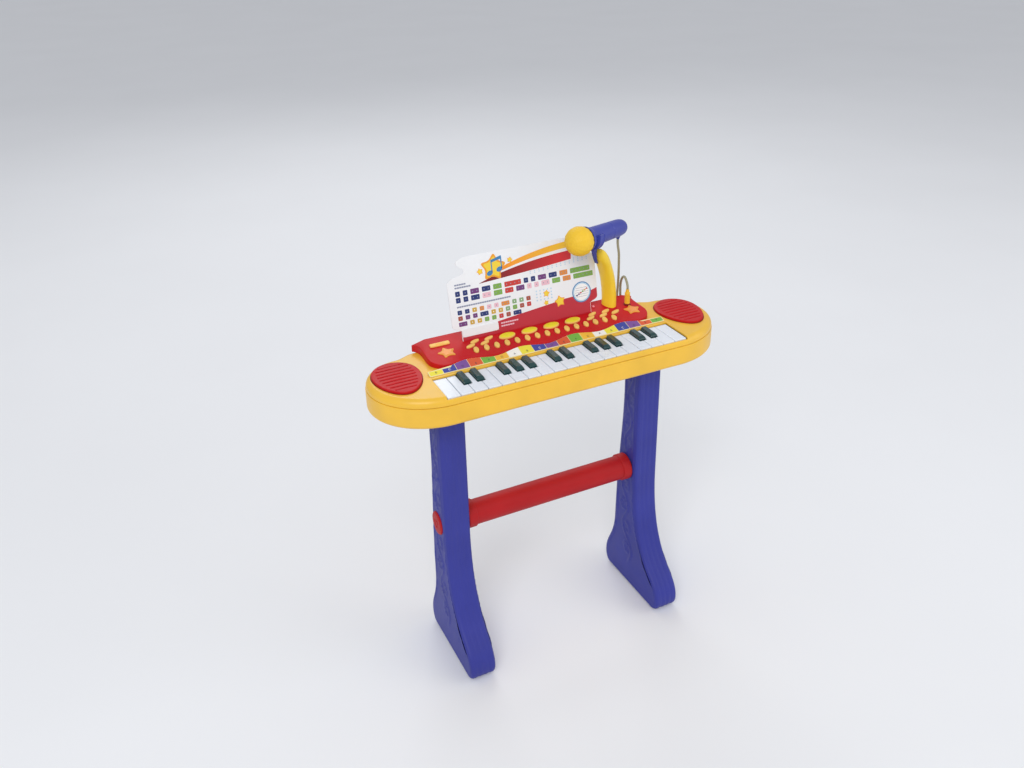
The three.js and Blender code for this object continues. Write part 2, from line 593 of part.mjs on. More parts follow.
function micHead() {
  const profile = [[0, -MIC_BALL_RADIUS]];
  const last = Math.acos(-CUP / MIC_BALL_RADIUS);
  const steps = 8;
  for (let i = 1; i <= steps; i += 1) {
    const angle = last * i / steps;
    profile.push([MIC_BALL_RADIUS * Math.sin(angle), -MIC_BALL_RADIUS * Math.cos(angle)]);
  }
  profile.push([0, CUP]);
  return alongMic(lathe(profile, 20));
}

function micHandle() {
  const profile = [[0, MIC_LENGTH - 6], [8, MIC_LENGTH - 8], [9.4, 34], [10.2, 24], [12, 16], [14.5, CUP + GAP],
    [16.6, CUP + GAP], [16.8, 13.4], [15.4, 17], [13.6, 20.5], [12.9, 32], [12.3, 60], [11.8, 83], [10.4, 89],
    [7, 93], [0, MIC_LENGTH]];
  const gland = new THREE.CylinderGeometry(3.2, 3.6, 5, 8).rotateZ(Math.PI / 2)
    .translate(-12.5, MIC_CORD_AT, 0);
  return alongMic(lathe(profile, 20)).add(alongMic(gland));
}

// A U-shaped cradle under the neck, with a pointed fin that runs down the front of the arm.
function micHolder() {
  const inner = 13.9;
  const outer = 16.9;
  const width = 9;
  const cradle = new THREE.Shape();
  cradle.moveTo(6, -outer);
  cradle.lineTo(6, -inner);
  cradle.lineTo(0, -inner);
  cradle.absarc(0, 0, inner, -Math.PI / 2, -Math.PI * 1.5, true);
  cradle.lineTo(6, inner);
  cradle.lineTo(6, outer);
  cradle.lineTo(0, outer);
  cradle.absarc(0, 0, outer, Math.PI / 2, Math.PI * 1.5, false);
  const ring = new THREE.ExtrudeGeometry(cradle, { depth: width, bevelEnabled: false, curveSegments: 8 })
    .translate(0, 0, MIC_CLIP_AT - width / 2);
  const micSide = new THREE.Vector3().crossVectors(MIC_AXIS, micUp);
  const basis = new THREE.Matrix4().makeBasis(micUp, micSide, MIC_AXIS).setPosition(MIC_BALL);

  const fin = new THREE.Shape();
  fin.moveTo(33, 542.6);
  fin.lineTo(42, 542.6);
  fin.lineTo(41, 540.4);
  fin.bezierCurveTo(36, 537, 35.5, 524, 27.2, 514.3);
  fin.bezierCurveTo(30.4, 521.5, 32.4, 530, 30.2, 538.6);
  return solid(ring.applyMatrix4(basis)).add(armPlane(fin, 5.5, 3.6));
}

// ---------------------------------------------------------------- jack, plug and cord
const JACK_TOP = panelZ(JACK[1]) + 1.4;

function micSocket() {
  const profile = [[2.3, DECK_Z + 1.5], [4.2, DECK_Z + 1.5], [4.2, panelZ(JACK[1] + 6) + 0.2],
    [6, panelZ(JACK[1] + 6) + 0.2], [6, JACK_TOP], [2.3, JACK_TOP], [2.3, DECK_Z + 1.5]];
  return solid(lathe(profile, 12).rotateX(Math.PI / 2).translate(...JACK, 0));
}

const PLUG_TOP = 466;

function micPlug() {
  const profile = [[0, DECK_Z + 4], [1.75, DECK_Z + 5], [1.75, JACK_TOP + GAP], [3.4, JACK_TOP + GAP],
    [3.4, 461], [2.6, PLUG_TOP], [0, PLUG_TOP]];
  return solid(lathe(profile, 12).rotateX(Math.PI / 2).translate(...JACK, 0));
}

// The cord leaves the underside of the handle, hangs behind the case, turns and arches over into the plug.
const CORD_EXIT = MIC_BALL.clone().addScaledVector(MIC_AXIS, MIC_CORD_AT).addScaledVector(micUp, -15.3);
const CORD_ROUTE = [
  [CORD_EXIT.x, CORD_EXIT.y, CORD_EXIT.z],
  [CORD_EXIT.x + 0.4, CORD_EXIT.y + 0.3, CORD_EXIT.z - 8],
  [137.2, 53.6, 516],
  [140.5, 58, 500],
  [144, 63.5, 482],
  [147, 69, 462],
  [148, 72.4, 444],
  [146.5, 73.4, 424],
  [143.5, 73.6, 406],
  [144, 73.6, 394],
  [149, 73.6, 388],
  [154.5, 73.6, 394],
  [156.5, 73.6, 406],
  [155.5, 73.4, 424],
  [153.8, 72.8, 444],
  [152, 70, 461],
  [149.8, 62.5, 473.5],
  [147, 52, 479],
  [144.8, 43.5, 476],
  [144, 39.2, 470.5],
  [JACK[0], JACK[1], PLUG_TOP + GAP],
];

function micCord() {
  const points = CORD_ROUTE.map((p) => new THREE.Vector3(...p));
  const route = new THREE.CatmullRomCurve3(points, false, 'centripetal');
  const section = new THREE.Shape();
  section.absarc(0, 0, CORD_RADIUS, 0, 2 * Math.PI);
  return solid(new THREE.ExtrudeGeometry(section, { steps: 52, extrudePath: route, curveSegments: 4 }));
}

// ---------------------------------------------------------------- electronics
function circuitBoard() {
  const board = box(-116, 116, 13, 62, 420, 421.6);
  const port = box(MEDIA_PORT.x - MEDIA_PORT.halfX, MEDIA_PORT.x + MEDIA_PORT.halfX, 53, CASE_BACK - 0.5,
    MEDIA_PORT.bottom, 420.5)
    .subtract(box(MEDIA_PORT.x - 6, MEDIA_PORT.x + 6, 56, CASE_BACK + 1, MEDIA_PORT.bottom + 1, 418));
  const chips = [[-20, 46, 12], [30, 48, 8], [70, 50, 5]].map(([x, y, half]) =>
    box(x - half, x + half, y - 5, y + 5, 421, 423.8));
  return unite([board, port, ...chips]);
}

// ---------------------------------------------------------------- assembly
const two = (n) => String(n).padStart(2, '0');

piece('lower_case', lowerCase(), YELLOW);
piece('upper_case', upperCase(), YELLOW);
piece('battery_cover', batteryCover(), YELLOW);
piece('control_panel', controlPanel(), RED);
piece('note_label_strip', labelStrip(), WHITE);
for (const [name, side] of [['left', -1], ['right', 1]]) {
  piece(`${name}_speaker_grille`, speakerGrille(side), RED);
  piece(`${name}_speaker`, speaker(side), PAPER);
  piece(`${name}_leg`, leg(side), BLUE);
}
piece('crossbar', crossbar(), RED);
piece('song_board', songBoard(), WHITE);
piece('main_circuit_board', circuitBoard(), BOARD_GREEN);

for (let i = 1; i <= WHITE_KEYS; i += 1) piece(`white_key_${two(i)}`, whiteKey(i), WHITE);
BLACK_AFTER.forEach((after, i) => piece(`black_key_${two(i + 1)}`, blackKey(after), BLACK));

piece('power_switch', powerSwitch(), BUTTON);
BIG_OVALS.forEach((b, i) => piece(`drum_pad_${i + 1}`, keypad([b], b.rx + 1.5, b.ry + 0.4), LEMON));
piece('left_function_keypad', keypad(LEFT_LEAVES, 9, 4), BUTTON);
piece('right_function_keypad', keypad(RIGHT_LEAVES, 9, 4), BUTTON);
piece('sound_button_strip', keypad(SMALL_OVALS, 6, 6), BUTTON);

piece('mic_arm', armBody(0), YELLOW);
piece('mic_holder', micHolder(), BLUE);
piece('mic_handle', micHandle(), BLUE);
piece('mic_head', micHead(), YELLOW);
piece('mic_socket', micSocket(), METAL);
piece('mic_plug', micPlug(), YELLOW);
piece('mic_cord', micCord(), CORD);

export default keyboard;
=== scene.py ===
"""Looks for a toy electronic keyboard on its stand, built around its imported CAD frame.

Lengths are millimetres in the case frame: X to the player's right, Y away from the player and measured from
the middle of the case, Z up from a level 10 mm above the floor. metres() carries a point to the row frame.
"""

from math import acos, atan, ceil, cos, hypot, pi, radians, sin, sqrt, tan

import bmesh
import bpy
from mathutils import Matrix, Vector
from mathutils.geometry import delaunay_2d_cdt, interpolate_bezier


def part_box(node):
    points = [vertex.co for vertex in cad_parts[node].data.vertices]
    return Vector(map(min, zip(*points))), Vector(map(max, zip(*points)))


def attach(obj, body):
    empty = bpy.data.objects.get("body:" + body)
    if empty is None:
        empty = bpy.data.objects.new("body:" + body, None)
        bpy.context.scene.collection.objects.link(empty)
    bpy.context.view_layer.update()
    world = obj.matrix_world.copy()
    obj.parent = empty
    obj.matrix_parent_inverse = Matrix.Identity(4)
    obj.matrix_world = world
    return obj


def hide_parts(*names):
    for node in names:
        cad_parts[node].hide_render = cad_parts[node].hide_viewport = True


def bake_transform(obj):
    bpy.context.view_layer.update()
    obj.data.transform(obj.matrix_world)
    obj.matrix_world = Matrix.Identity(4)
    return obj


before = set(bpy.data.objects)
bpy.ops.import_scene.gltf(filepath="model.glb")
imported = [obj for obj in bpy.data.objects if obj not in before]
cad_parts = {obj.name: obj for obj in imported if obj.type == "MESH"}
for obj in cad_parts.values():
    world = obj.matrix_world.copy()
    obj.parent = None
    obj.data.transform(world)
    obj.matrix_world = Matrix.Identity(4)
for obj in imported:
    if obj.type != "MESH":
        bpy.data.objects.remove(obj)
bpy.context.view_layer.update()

# ---------------------------------------------------------------- sizes, in millimetres
CASE_HALF_X, CASE_FRONT, CASE_BACK = 248, -71, 67
CASE_END_BACK, CASE_WAIST = 58, 4
FRONT_CORNER_X, BACK_CORNER_X = 85, 53
FLOOR_Z, BASE_Z, PARTING_Z, DECK_Z = -10, 392, 421, 432
GAP, WALL = 0.3, 3
WHITE_KEYS, KEY_PITCH, KEY_GAP = 19, 18, 0.8
KEY_FRONT, KEY_TOP, KEY_BOTTOM, KEY_TAIL_END, KEY_TAIL_TOP = -66, 430, 420, 9, 427
DECK_EDGE = -16.5
BLACK_WIDTH, BLACK_FRONT, BLACK_TOP = 9.6, -44, 434
BLACK_AFTER = (2, 3, 5, 6, 7, 9, 10, 12, 13, 14, 16, 17)
WELL_HALF_X = WHITE_KEYS * KEY_PITCH / 2 + 0.8
PANEL_FRONT, PANEL_BACK, PANEL_HALF_X = 0, 66, 168
PANEL_FRONT_Z, PANEL_SLOPE, PANEL_WAVE, WAVE_LENGTH, WAVE_END = 437.6, 0.14, 3, 76, 140
BOARD_MIDDLE_X, BOARD_HALF_X, BOARD_HEIGHT, BOARD_TENON = -8.5, 108, 113, 12
BOARD_FOOT_Y, BOARD_FOOT_Z, BOARD_LEAN = 40.9, 438.9, radians(12)
SPEAKER_X, SPEAKER_Y, SLOT_PITCH = 208, 3, 7.6
GRILLE_HALF_X, GRILLE_HALF_Y, GRILLE_FLARE = 30, 41, 0.16
LIP_Z, SHOULDER_X = 428.5, 166
LABEL_FRONT, LABEL_SLOPE = DECK_EDGE + 4, 0.3
LEG_MIDDLE_X, LEG_WIDTH, LEG_TOP_Z, LEG_FRONT, LEG_BACK = 149, 39, 412, -19, 20
FOOT_FRONT, FOOT_BACK = -88, 58
BAR_DEPTH, BAR_Z, BAR_RADIUS = 6, 199, 17.5
ARM_FOOT = Vector((119, 47, 0))
ARM_REACH = Vector((-0.9, -0.436, 0)).normalized()
ARM_ACROSS = ARM_REACH.cross(Vector((0, 0, 1)))
MIC_BALL = Vector((56.4, 21.6, 558))
MIC_AXIS = Vector((0.93, 0.355, -0.047)).normalized()
MIC_UP = (Vector((0, 0, 1)) - MIC_AXIS * MIC_AXIS.z).normalized()
MIC_SIDE = MIC_AXIS.cross(MIC_UP)
MIC_RADIUS, MIC_LENGTH, MIC_CLIP_AT, MIC_CORD_AT = 19.5, 94, 26, 83
JACK_X, JACK_Y, PLUG_TOP = 144, 39, 466
CORD_DIAMETER = 3.4

UP = (0, 0, 1)
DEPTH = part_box("lower_case")[1].y * 1000 - CASE_BACK


def metres(point):
    return Vector((point[0], point[1] + DEPTH, point[2] - FLOOR_Z)) / 1000


def add_object(name, data):
    """A new object in the scene."""
    made = bpy.data.objects.new(name, data)
    bpy.context.scene.collection.objects.link(made)
    return made


# ---------------------------------------------------------------- camera
def make_camera():
    azimuth, elevation, roll = radians(-25.39), radians(25.40), radians(-1.31)
    target, distance = Vector((-0.0555, 0, 0.4867)), 1.177
    right = Vector((cos(azimuth), sin(azimuth), 0))
    back = Vector((sin(azimuth) * cos(elevation), -cos(azimuth) * cos(elevation), sin(elevation)))
    up = back.cross(right)
    right, up = right * cos(roll) + up * sin(roll), up * cos(roll) - right * sin(roll)
    data = bpy.data.cameras.new("camera")
    data.sensor_width, data.lens = 36, 32.9
    data.shift_x, data.shift_y = -0.0018, -0.0576
    data.clip_start, data.clip_end = 0.01, 100
    camera = add_object("camera", data)
    turn = Matrix((right, up, back)).transposed().to_4x4()
    camera.matrix_world = Matrix.Translation(target + back * distance) @ turn
    bpy.context.scene.camera = camera


make_camera()


# ---------------------------------------------------------------- materials
def shade(code, gain=1.0):
    """A colour as painted, such as "D02F35", in the renderer's linear numbers."""
    channels = (int(code[i:i + 2], 16) / 255 for i in (0, 2, 4))
    linear = [c / 12.92 if c <= 0.04045 else ((c + 0.055) / 1.055) ** 2.4 for c in channels]
    return (*[min(1, c * gain) for c in linear], 1)


def put(node, values):
    """Sets a shader node's inputs by name."""
    for name, value in values.items():
        node.inputs[name].default_value = value


def material(name, code, roughness=0.4, metallic=0.0, coat=0.0, grain=700, bump=0.05, mottle=18, depth=0.07,
             specular=0.4, subsurface=0.0, glow=0.0, sweep=None):
    """Moulded plastic, print or metal: a slow drift of colour, a fine surface grain and uneven gloss."""
    made = bpy.data.materials.new(name)
    made.use_nodes = True
    nodes, links = made.node_tree.nodes, made.node_tree.links
    shader = nodes["Principled BSDF"]
    put(shader, {"Metallic": metallic, "Specular IOR Level": specular, "Coat Weight": coat,
                 "Coat Roughness": 0.18})
    if subsurface:
        put(shader, {"Subsurface Weight": subsurface, "Subsurface Radius": (0.004, 0.003, 0.002)})
    if glow:
        put(shader, {"Emission Color": shade(code), "Emission Strength": glow})
    place = nodes.new("ShaderNodeTexCoord")

    def noise(scale, detail):
        node = nodes.new("ShaderNodeTexNoise")
        put(node, {"Scale": scale, "Detail": detail})
        links.new(place.outputs["Object"], node.inputs["Vector"])
        return node.outputs["Fac"]

    drift = noise(mottle, 3)
    ramp = nodes.new("ShaderNodeValToRGB")
    ramp.color_ramp.elements[0].position, ramp.color_ramp.elements[1].position = 0.3, 0.7
    ramp.color_ramp.elements[0].color = shade(code, 1 - depth)
    ramp.color_ramp.elements[1].color = shade(code, 1 + depth)
    links.new(drift, ramp.inputs["Fac"])
    colour = ramp.outputs["Color"]
    if sweep:                      # a second colour that takes over along X, as in a printed fade
        other, start, end = sweep
        split = nodes.new("ShaderNodeSeparateXYZ")
        along = nodes.new("ShaderNodeMapRange")
        put(along, {"From Min": start / 1000, "From Max": end / 1000})
        mix = nodes.new("ShaderNodeMix")
        mix.data_type = "RGBA"
        mix.inputs["B"].default_value = shade(other)
        links.new(place.outputs["Object"], split.inputs["Vector"])
        links.new(split.outputs["X"], along.inputs["Value"])
        links.new(along.outputs["Result"], mix.inputs["Factor"])
        links.new(colour, mix.inputs["A"])
        colour = mix.outputs["Result"]
    links.new(colour, shader.inputs["Base Color"])
    gloss = nodes.new("ShaderNodeMapRange")
    put(gloss, {"To Min": max(0.03, roughness - 0.07), "To Max": roughness + 0.07})
    links.new(noise(mottle * 4, 4), gloss.inputs["Value"])
    links.new(gloss.outputs["Result"], shader.inputs["Roughness"])
    relief = nodes.new("ShaderNodeBump")
    put(relief, {"Strength": bump, "Distance": 0.0006})
    links.new(noise(grain, 2), relief.inputs["Height"])
    links.new(relief.outputs["Normal"], shader.inputs["Normal"])
    return made


YELLOW = material("case_yellow", "EFBC3A", roughness=0.38, coat=0.12, bump=0.05)
ARM_YELLOW = material("arm_yellow", "F6D236", roughness=0.36, coat=0.15)
BALL_YELLOW = material("ball_yellow", "EFC232", roughness=0.5, bump=0.12, grain=420, specular=0.3)
RED = material("panel_red", "C4141B", roughness=0.46, specular=0.22)
BAR_RED = material("bar_red", "AE1C20", roughness=0.48, specular=0.2)
BLUE = material("leg_blue", "363B92", roughness=0.46, bump=0.07, specular=0.25)
MIC_BLUE = material("mic_blue", "4048A0", roughness=0.4, coat=0.08, specular=0.3)
KEY_WHITE = material("key_white", "E6EBF2", roughness=0.26, coat=0.2, bump=0.02, depth=0.02)
KEY_BLACK = material("key_black", "083A3B", roughness=0.2, coat=0.6, bump=0.02)
CREAM = material("button_cream", "F3C468", roughness=0.5, bump=0.06, subsurface=0.05, specular=0.3)
LEMON = material("button_lemon", "EADB32", roughness=0.46, bump=0.06, subsurface=0.05, specular=0.3)
GOLD = material("star_gold", "E39C3C", roughness=0.45, bump=0.05, grain=300)
STAR_CORE = material("star_core", "EE9A4E", roughness=0.42, coat=0.1, subsurface=0.1, glow=0.03)
PINK = material("lamp_pink", "F08C94", roughness=0.2, coat=0.4, subsurface=0.2, glow=0.1)
METAL = material("socket_metal", "BEBEC2", roughness=0.28, metallic=1.0, bump=0.03)
RING = material("socket_ring", "8E1216", roughness=0.5, bump=0.03)
# Dark rubber for the foot pads; the same dark is also painted shadow in the ring between the microphone's
# ball and its cup.
DARK = material("rubber_dark_and_painted_shadow", "26282C", roughness=0.7, bump=0.15)
CLOTH = material("speaker_cloth", "A0161C", roughness=0.95, bump=0.5, grain=1400, specular=0.1)
CONE = material("speaker_cone", "24262A", roughness=0.85, bump=0.4, grain=900)
CIRCUIT = material("circuit_board", "2E6B3A", roughness=0.5, bump=0.2, grain=500)
VINYL = material("cord_vinyl", "9C987F", roughness=0.52, bump=0.08)
PLUG_YELLOW = material("plug_yellow", "EBBC34", roughness=0.44)
CARD = material("song_card", "EEEFF0", roughness=0.34, coat=0.15, bump=0.02, depth=0.015)
LABEL_BASE = material("label_base", "F0E2A8", roughness=0.44, coat=0.1, depth=0.03)


# ---------------------------------------------------------------- outlines
class Outline:
    """A flat outline, drawn counterclockwise."""

    def __init__(self, x, y):
        self.points = [(x, y)]

    def line(self, x, y):
        self.points.append((x, y))
        return self

    def curve(self, ax, ay, bx, by, x, y, steps=12):
        start = self.points[-1]
        drawn = interpolate_bezier((*start, 0), (ax, ay, 0), (bx, by, 0), (x, y, 0), steps + 1)
        self.points += [(p.x, p.y) for p in drawn[1:]]
        return self

    def arc(self, x, y, rx, ry, start, end, steps=16):
        for i in range(steps + 1):
            angle = start + (end - start) * i / steps
            self.points.append((x + rx * cos(angle), y + ry * sin(angle)))
        return self

    def loop(self):
        """The outline as a closed loop with no point repeated."""
        kept = []
        for p in self.points:
            if not kept or hypot(p[0] - kept[-1][0], p[1] - kept[-1][1]) > 1e-4:
                kept.append(p)
        if hypot(kept[0][0] - kept[-1][0], kept[0][1] - kept[-1][1]) < 1e-4:
            kept.pop()
        return kept


def ellipse(x, y, rx, ry, turn=0.0, steps=36):
    loop = []
    for i in range(steps):
        a, b = rx * cos(2 * pi * i / steps), ry * sin(2 * pi * i / steps)
        loop.append((x + a * cos(turn) - b * sin(turn), y + a * sin(turn) + b * cos(turn)))
    return loop


def rounded(x0, x1, y0, y1, radius, steps=5):
    shape = Outline(x0 + radius, y0)
    for x, y, start in ((x1 - radius, y0 + radius, -90), (x1 - radius, y1 - radius, 0),
                        (x0 + radius, y1 - radius, 90), (x0 + radius, y0 + radius, 180)):
        shape.arc(x, y, radius, radius, radians(start), radians(start + 90), steps)
    return shape.loop()


def star(x, y, radius, depth=0.5, turn=0.0, stretch=1.0, soft=3):
    """A star with five points, each corner rounded by cutting it `soft` times."""
    loop = []
    for i in range(10):
        angle = turn + pi / 2 + pi * i / 5
        reach = radius if i % 2 == 0 else radius * depth
        loop.append((x + reach * cos(angle) * stretch, y + reach * sin(angle)))
    for _ in range(soft):
        cut = []
        for i, p in enumerate(loop):
            q = loop[(i + 1) % len(loop)]
            cut.append((p[0] * 0.8 + q[0] * 0.2, p[1] * 0.8 + q[1] * 0.2))
            cut.append((p[0] * 0.2 + q[0] * 0.8, p[1] * 0.2 + q[1] * 0.8))
        loop = cut
    return loop


def inset(loop, amount):
    """The loop moved inwards by amount, or outwards where it is negative."""
    moved = []
    for i, p in enumerate(loop):
        a, b, c = Vector(loop[i - 1]), Vector(p), Vector(loop[(i + 1) % len(loop)])
        e, f = (b - a).normalized(), (c - b).normalized()
        into_e, into_f = Vector((-e.y, e.x)), Vector((-f.y, f.x))
        both = into_e + into_f
        moved.append(tuple(b + both * (amount / max(0.4, both.dot(into_e)))))
    return moved


def inside(x, y, loop):
    hit = False
    for i, (ax, ay) in enumerate(loop):
        bx, by = loop[i - 1]
        if (ay > y) != (by > y) and x < (bx - ax) * (y - ay) / (by - ay) + ax:
            hit = not hit
    return hit


def fill(outer, holes=(), spacing=0, seams=()):
    """Triangles that cover outer without the holes. With a spacing, a grid of points lies inside as well."""
    points, edges = [], []
    for loop in (outer, *holes):
        first = len(points)
        points += [Vector(p) for p in loop]
        edges += [(first + i, first + (i + 1) % len(loop)) for i in range(len(loop))]
    for a, b in seams:
        edges.append((len(points), len(points) + 1))
        points += [Vector(a), Vector(b)]
    if spacing:
        xs, ys = [p[0] for p in outer], [p[1] for p in outer]
        border = [Vector(p) for p in outer]
        for i in range(ceil((max(xs) - min(xs)) / spacing)):
            for j in range(ceil((max(ys) - min(ys)) / spacing)):
                x, y = min(xs) + (i + 0.5) * spacing, min(ys) + (j + 0.5) * spacing
                if inside(x, y, outer) and not any(inside(x, y, hole) for hole in holes):
                    if min((Vector((x, y)) - b).length_squared for b in border) > (0.5 * spacing) ** 2:
                        points.append(Vector((x, y)))
    verts, _, faces, *_ = delaunay_2d_cdt(points, edges, [], 0, 1e-5)
    kept = []
    for face in faces:
        x = sum(verts[i].x for i in face) / len(face)
        y = sum(verts[i].y for i in face) / len(face)
        if inside(x, y, outer) and not any(inside(x, y, hole) for hole in holes):
            kept.append(face)
    return [(v.x, v.y) for v in verts], kept


def quarter(radius, steps):
    """A quarter circle as pairs of distances from the corner it replaces; one pair if radius is 0."""
    angles = [pi / 2 * k / steps for k in range(steps + 1)] if radius else [0]
    return [(radius * (1 - sin(a)), radius * (1 - cos(a))) for a in angles]


def at_height(loop, z):
    """A flat loop as a ring of points at height z, or at z(x, y)."""
    return [(x, y, z(x, y) if callable(z) else z) for x, y in loop]


def hoop(centre, side, other, radius, steps):
    """A circle of points in the plane of the unit vectors side and other."""
    angles = [2 * pi * i / steps for i in range(steps)]
    return [centre + (side * cos(a) + other * sin(a)) * radius for a in angles]


def squarish(angle):
    """The cosine and sine of an angle, pushed out towards the corners of a square."""
    c, s = cos(angle), sin(angle)
    return abs(c) ** 0.8 * (1 if c > 0 else -1), abs(s) ** 0.8 * (1 if s > 0 else -1)


def weighted_shading(piece, crease):
    """Smooth shading that stays sharp where faces meet at more than crease degrees."""
    piece.data.shade_smooth()
    piece.data.set_sharp_from_angle(angle=radians(crease))
    piece.modifiers.new("even shading", "WEIGHTED_NORMAL").keep_sharp = True


def bevel_rims(piece, width, segments, angle):
    """Rounds every edge sharper than angle degrees by width."""
    rims = piece.modifiers.new("rims", "BEVEL")
    rims.width, rims.segments = width / 1000, segments
    rims.limit_method, rims.angle_limit = "ANGLE", radians(angle)
    bake(piece)


# ---------------------------------------------------------------- solids
class Solid:
    """A mesh under construction. Each stretch of faces can take its own material."""

    def __init__(self):
        self.verts, self.faces, self.marks = [], [], []

    def add(self, verts, faces, mark=0):
        first = len(self.verts)
        self.verts += [tuple(v) for v in verts]
        self.faces += [[first + i for i in face] for face in faces]
        self.marks += [mark] * len(faces)
        return self

    def loft(self, rings, mark=0, caps=(True, True)):
        count = len(rings[0])
        verts = [v for ring in rings for v in ring]
        faces = []
        for r in range(len(rings) - 1):
            for i in range(count):
                j = (i + 1) % count
                faces.append((r * count + i, r * count + j, (r + 1) * count + j, (r + 1) * count + i))
        if caps[0]:
            faces.append(tuple(range(count))[::-1])
        if caps[1]:
            faces.append(tuple((len(rings) - 1) * count + i for i in range(count)))
        return self.add(verts, faces, mark)

    def slab(self, loop, low, high, round_low=0.0, round_high=0.0, steps=4, mark=0, top=None):
        """The loop raised from low to high with rounded rims. top(x, y) adds to the upper rim's height."""
        rings = [at_height(inset(loop, inward), low + rise) for inward, rise in quarter(round_low, steps)]
        for drop, inward in quarter(round_high, steps):
            level = high - drop
            rings.append([(x, y, level + (top(x, y) if top else 0)) for x, y in inset(loop, inward)])
        return self.loft(rings, mark)

    def block(self, x0, x1, y0, y1, z0, z1, edge=0.4, mark=0):
        """A block with rounded upright edges and softened rims."""
        return self.slab(rounded(x0, x1, y0, y1, edge, 2), z0, z1, edge * 0.8, edge * 0.8, 2, mark)

    def turned(self, profile, centre, along, steps=40, mark=0):
        """A profile of (radius, distance) pairs turned round the line through centre along `along`."""
        along = Vector(along).normalized()
        side = along.orthogonal().normalized()
        other = along.cross(side)
        rings = []
        for radius, distance in profile:
            middle = Vector(centre) + along * distance
            rings.append(hoop(middle, side, other, radius, steps))
        return self.loft(rings, mark)

    def cover(self, outer, holes, base, height, rim=1.0, steps=3, mark=0, spacing=0, seams=()):
        """A plate on base with holes, whose upper face is height(x, y) and whose edges are rounded by rim."""
        wide = [inset(outer, rim)] + [inset(hole, -rim) for hole in holes]
        points, faces = fill(wide[0], wide[1:], spacing, seams)
        self.add(at_height(points, height), faces, mark)
        for loop, sign in [(outer, 1)] + [(hole, -1) for hole in holes]:
            rings = []
            for inward, drop in quarter(rim, steps):
                rings.append([(x, y, height(x, y) - drop) for x, y in inset(loop, sign * inward)])
            rings.append(at_height(loop, base))
            self.loft(rings, mark, (False, False))
        points, faces = fill(outer, holes)
        return self.add(at_height(points, base), [face[::-1] for face in faces], mark)

    def moved(self, place):
        """Every point carried by place(point)."""
        self.verts = [tuple(place(v)) for v in self.verts]
        return self

    def make(self, name, paint, body="case", stands_for=(), slot=None, crease=34, bevel=None):
        mesh = bpy.data.meshes.new(name)
        mesh.from_pydata([metres(v) for v in self.verts], [], self.faces)
        paints = paint if isinstance(paint, (list, tuple)) else [paint]
        for one in paints:
            mesh.materials.append(one)
        mesh.polygons.foreach_set("material_index", self.marks)
        bm = bmesh.new()
        bm.from_mesh(mesh)
        bmesh.ops.remove_doubles(bm, verts=bm.verts, dist=2e-6)
        bmesh.ops.dissolve_degenerate(bm, dist=1e-6, edges=bm.edges)
        bmesh.ops.recalc_face_normals(bm, faces=bm.faces)
        bm.to_mesh(mesh)
        bm.free()
        piece = add_object(name, mesh)
        if bevel:
            bevel_rims(piece, bevel, 3, 40)
        weighted_shading(piece, crease)
        if body:
            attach(piece, body)
        if stands_for:
            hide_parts(*stands_for)
        return piece


def bake(piece):
    """Turns a piece's modifiers into its mesh."""
    shown = piece.evaluated_get(bpy.context.evaluated_depsgraph_get())
    mesh = bpy.data.meshes.new_from_object(shown)
    piece.modifiers.clear()
    piece.data = mesh


def combine(piece, tools, operation):
    """Joins other solids to a piece, or cuts them from it, and removes them."""
    for tool in tools:
        step = piece.modifiers.new("cut", "BOOLEAN")
        step.operation, step.object, step.solver = operation, tool, "MANIFOLD"
        bake(piece)
        bpy.data.objects.remove(tool)


def tool(solid):
    return solid.make("tool", YELLOW, body=None)


def finish_cut(piece, crease=34, bevel=None):
    """Merges the flat faces that a cut left in pieces, then rounds and shades."""
    bm = bmesh.new()
    bm.from_mesh(piece.data)
    bmesh.ops.dissolve_limit(bm, angle_limit=radians(0.4), verts=bm.verts, edges=bm.edges)
    bm.to_mesh(piece.data)
    bm.free()
    if bevel:
        bevel_rims(piece, bevel, 2, 55)
    weighted_shading(piece, crease)


# ---------------------------------------------------------------- microphone cord
CORD_EXIT = MIC_BALL + MIC_AXIS * MIC_CORD_AT - MIC_UP * 15.3
CORD_ROUTE = [
    tuple(CORD_EXIT), (CORD_EXIT.x + 0.4, CORD_EXIT.y + 0.3, CORD_EXIT.z - 8),
    (137.2, 53.6, 516), (140.5, 58, 500), (144, 63.5, 482), (147, 69, 462), (148, 72.4, 444),
    (146.5, 73.4, 424), (143.5, 73.6, 406), (144, 73.6, 394), (149, 73.6, 388), (154.5, 73.6, 394),
    (156.5, 73.6, 406), (155.5, 73.4, 424), (153.8, 72.8, 444), (152, 70, 461), (149.8, 62.5, 473.5),
    (147, 52, 479), (144.8, 43.5, 476), (144, 39.2, 470.5), (JACK_X, JACK_Y, PLUG_TOP + GAP),
]


def through(points, steps=10):
    """A smooth line through the points, which slows down where they are close together."""
    points = [Vector(p) for p in points]
    ends = [points[0] * 2 - points[1], *points, points[-1] * 2 - points[-2]]
    line = [points[0]]
    for a, b, c, d in zip(ends, ends[1:], ends[2:], ends[3:]):
        t1 = sqrt((b - a).length)
        t2 = t1 + sqrt((c - b).length)
        t3 = t2 + sqrt((d - c).length)
        for i in range(1, steps + 1):
            t = t1 + (t2 - t1) * i / steps
            p = a + (b - a) * (t / t1)
            q = b + (c - b) * ((t - t1) / (t2 - t1))
            r = c + (d - c) * ((t - t2) / (t3 - t2))
            s = p + (q - p) * (t / t2)
            u = q + (r - q) * ((t - t1) / (t3 - t1))
            line.append(s + (u - s) * ((t - t1) / (t2 - t1)))
    return line


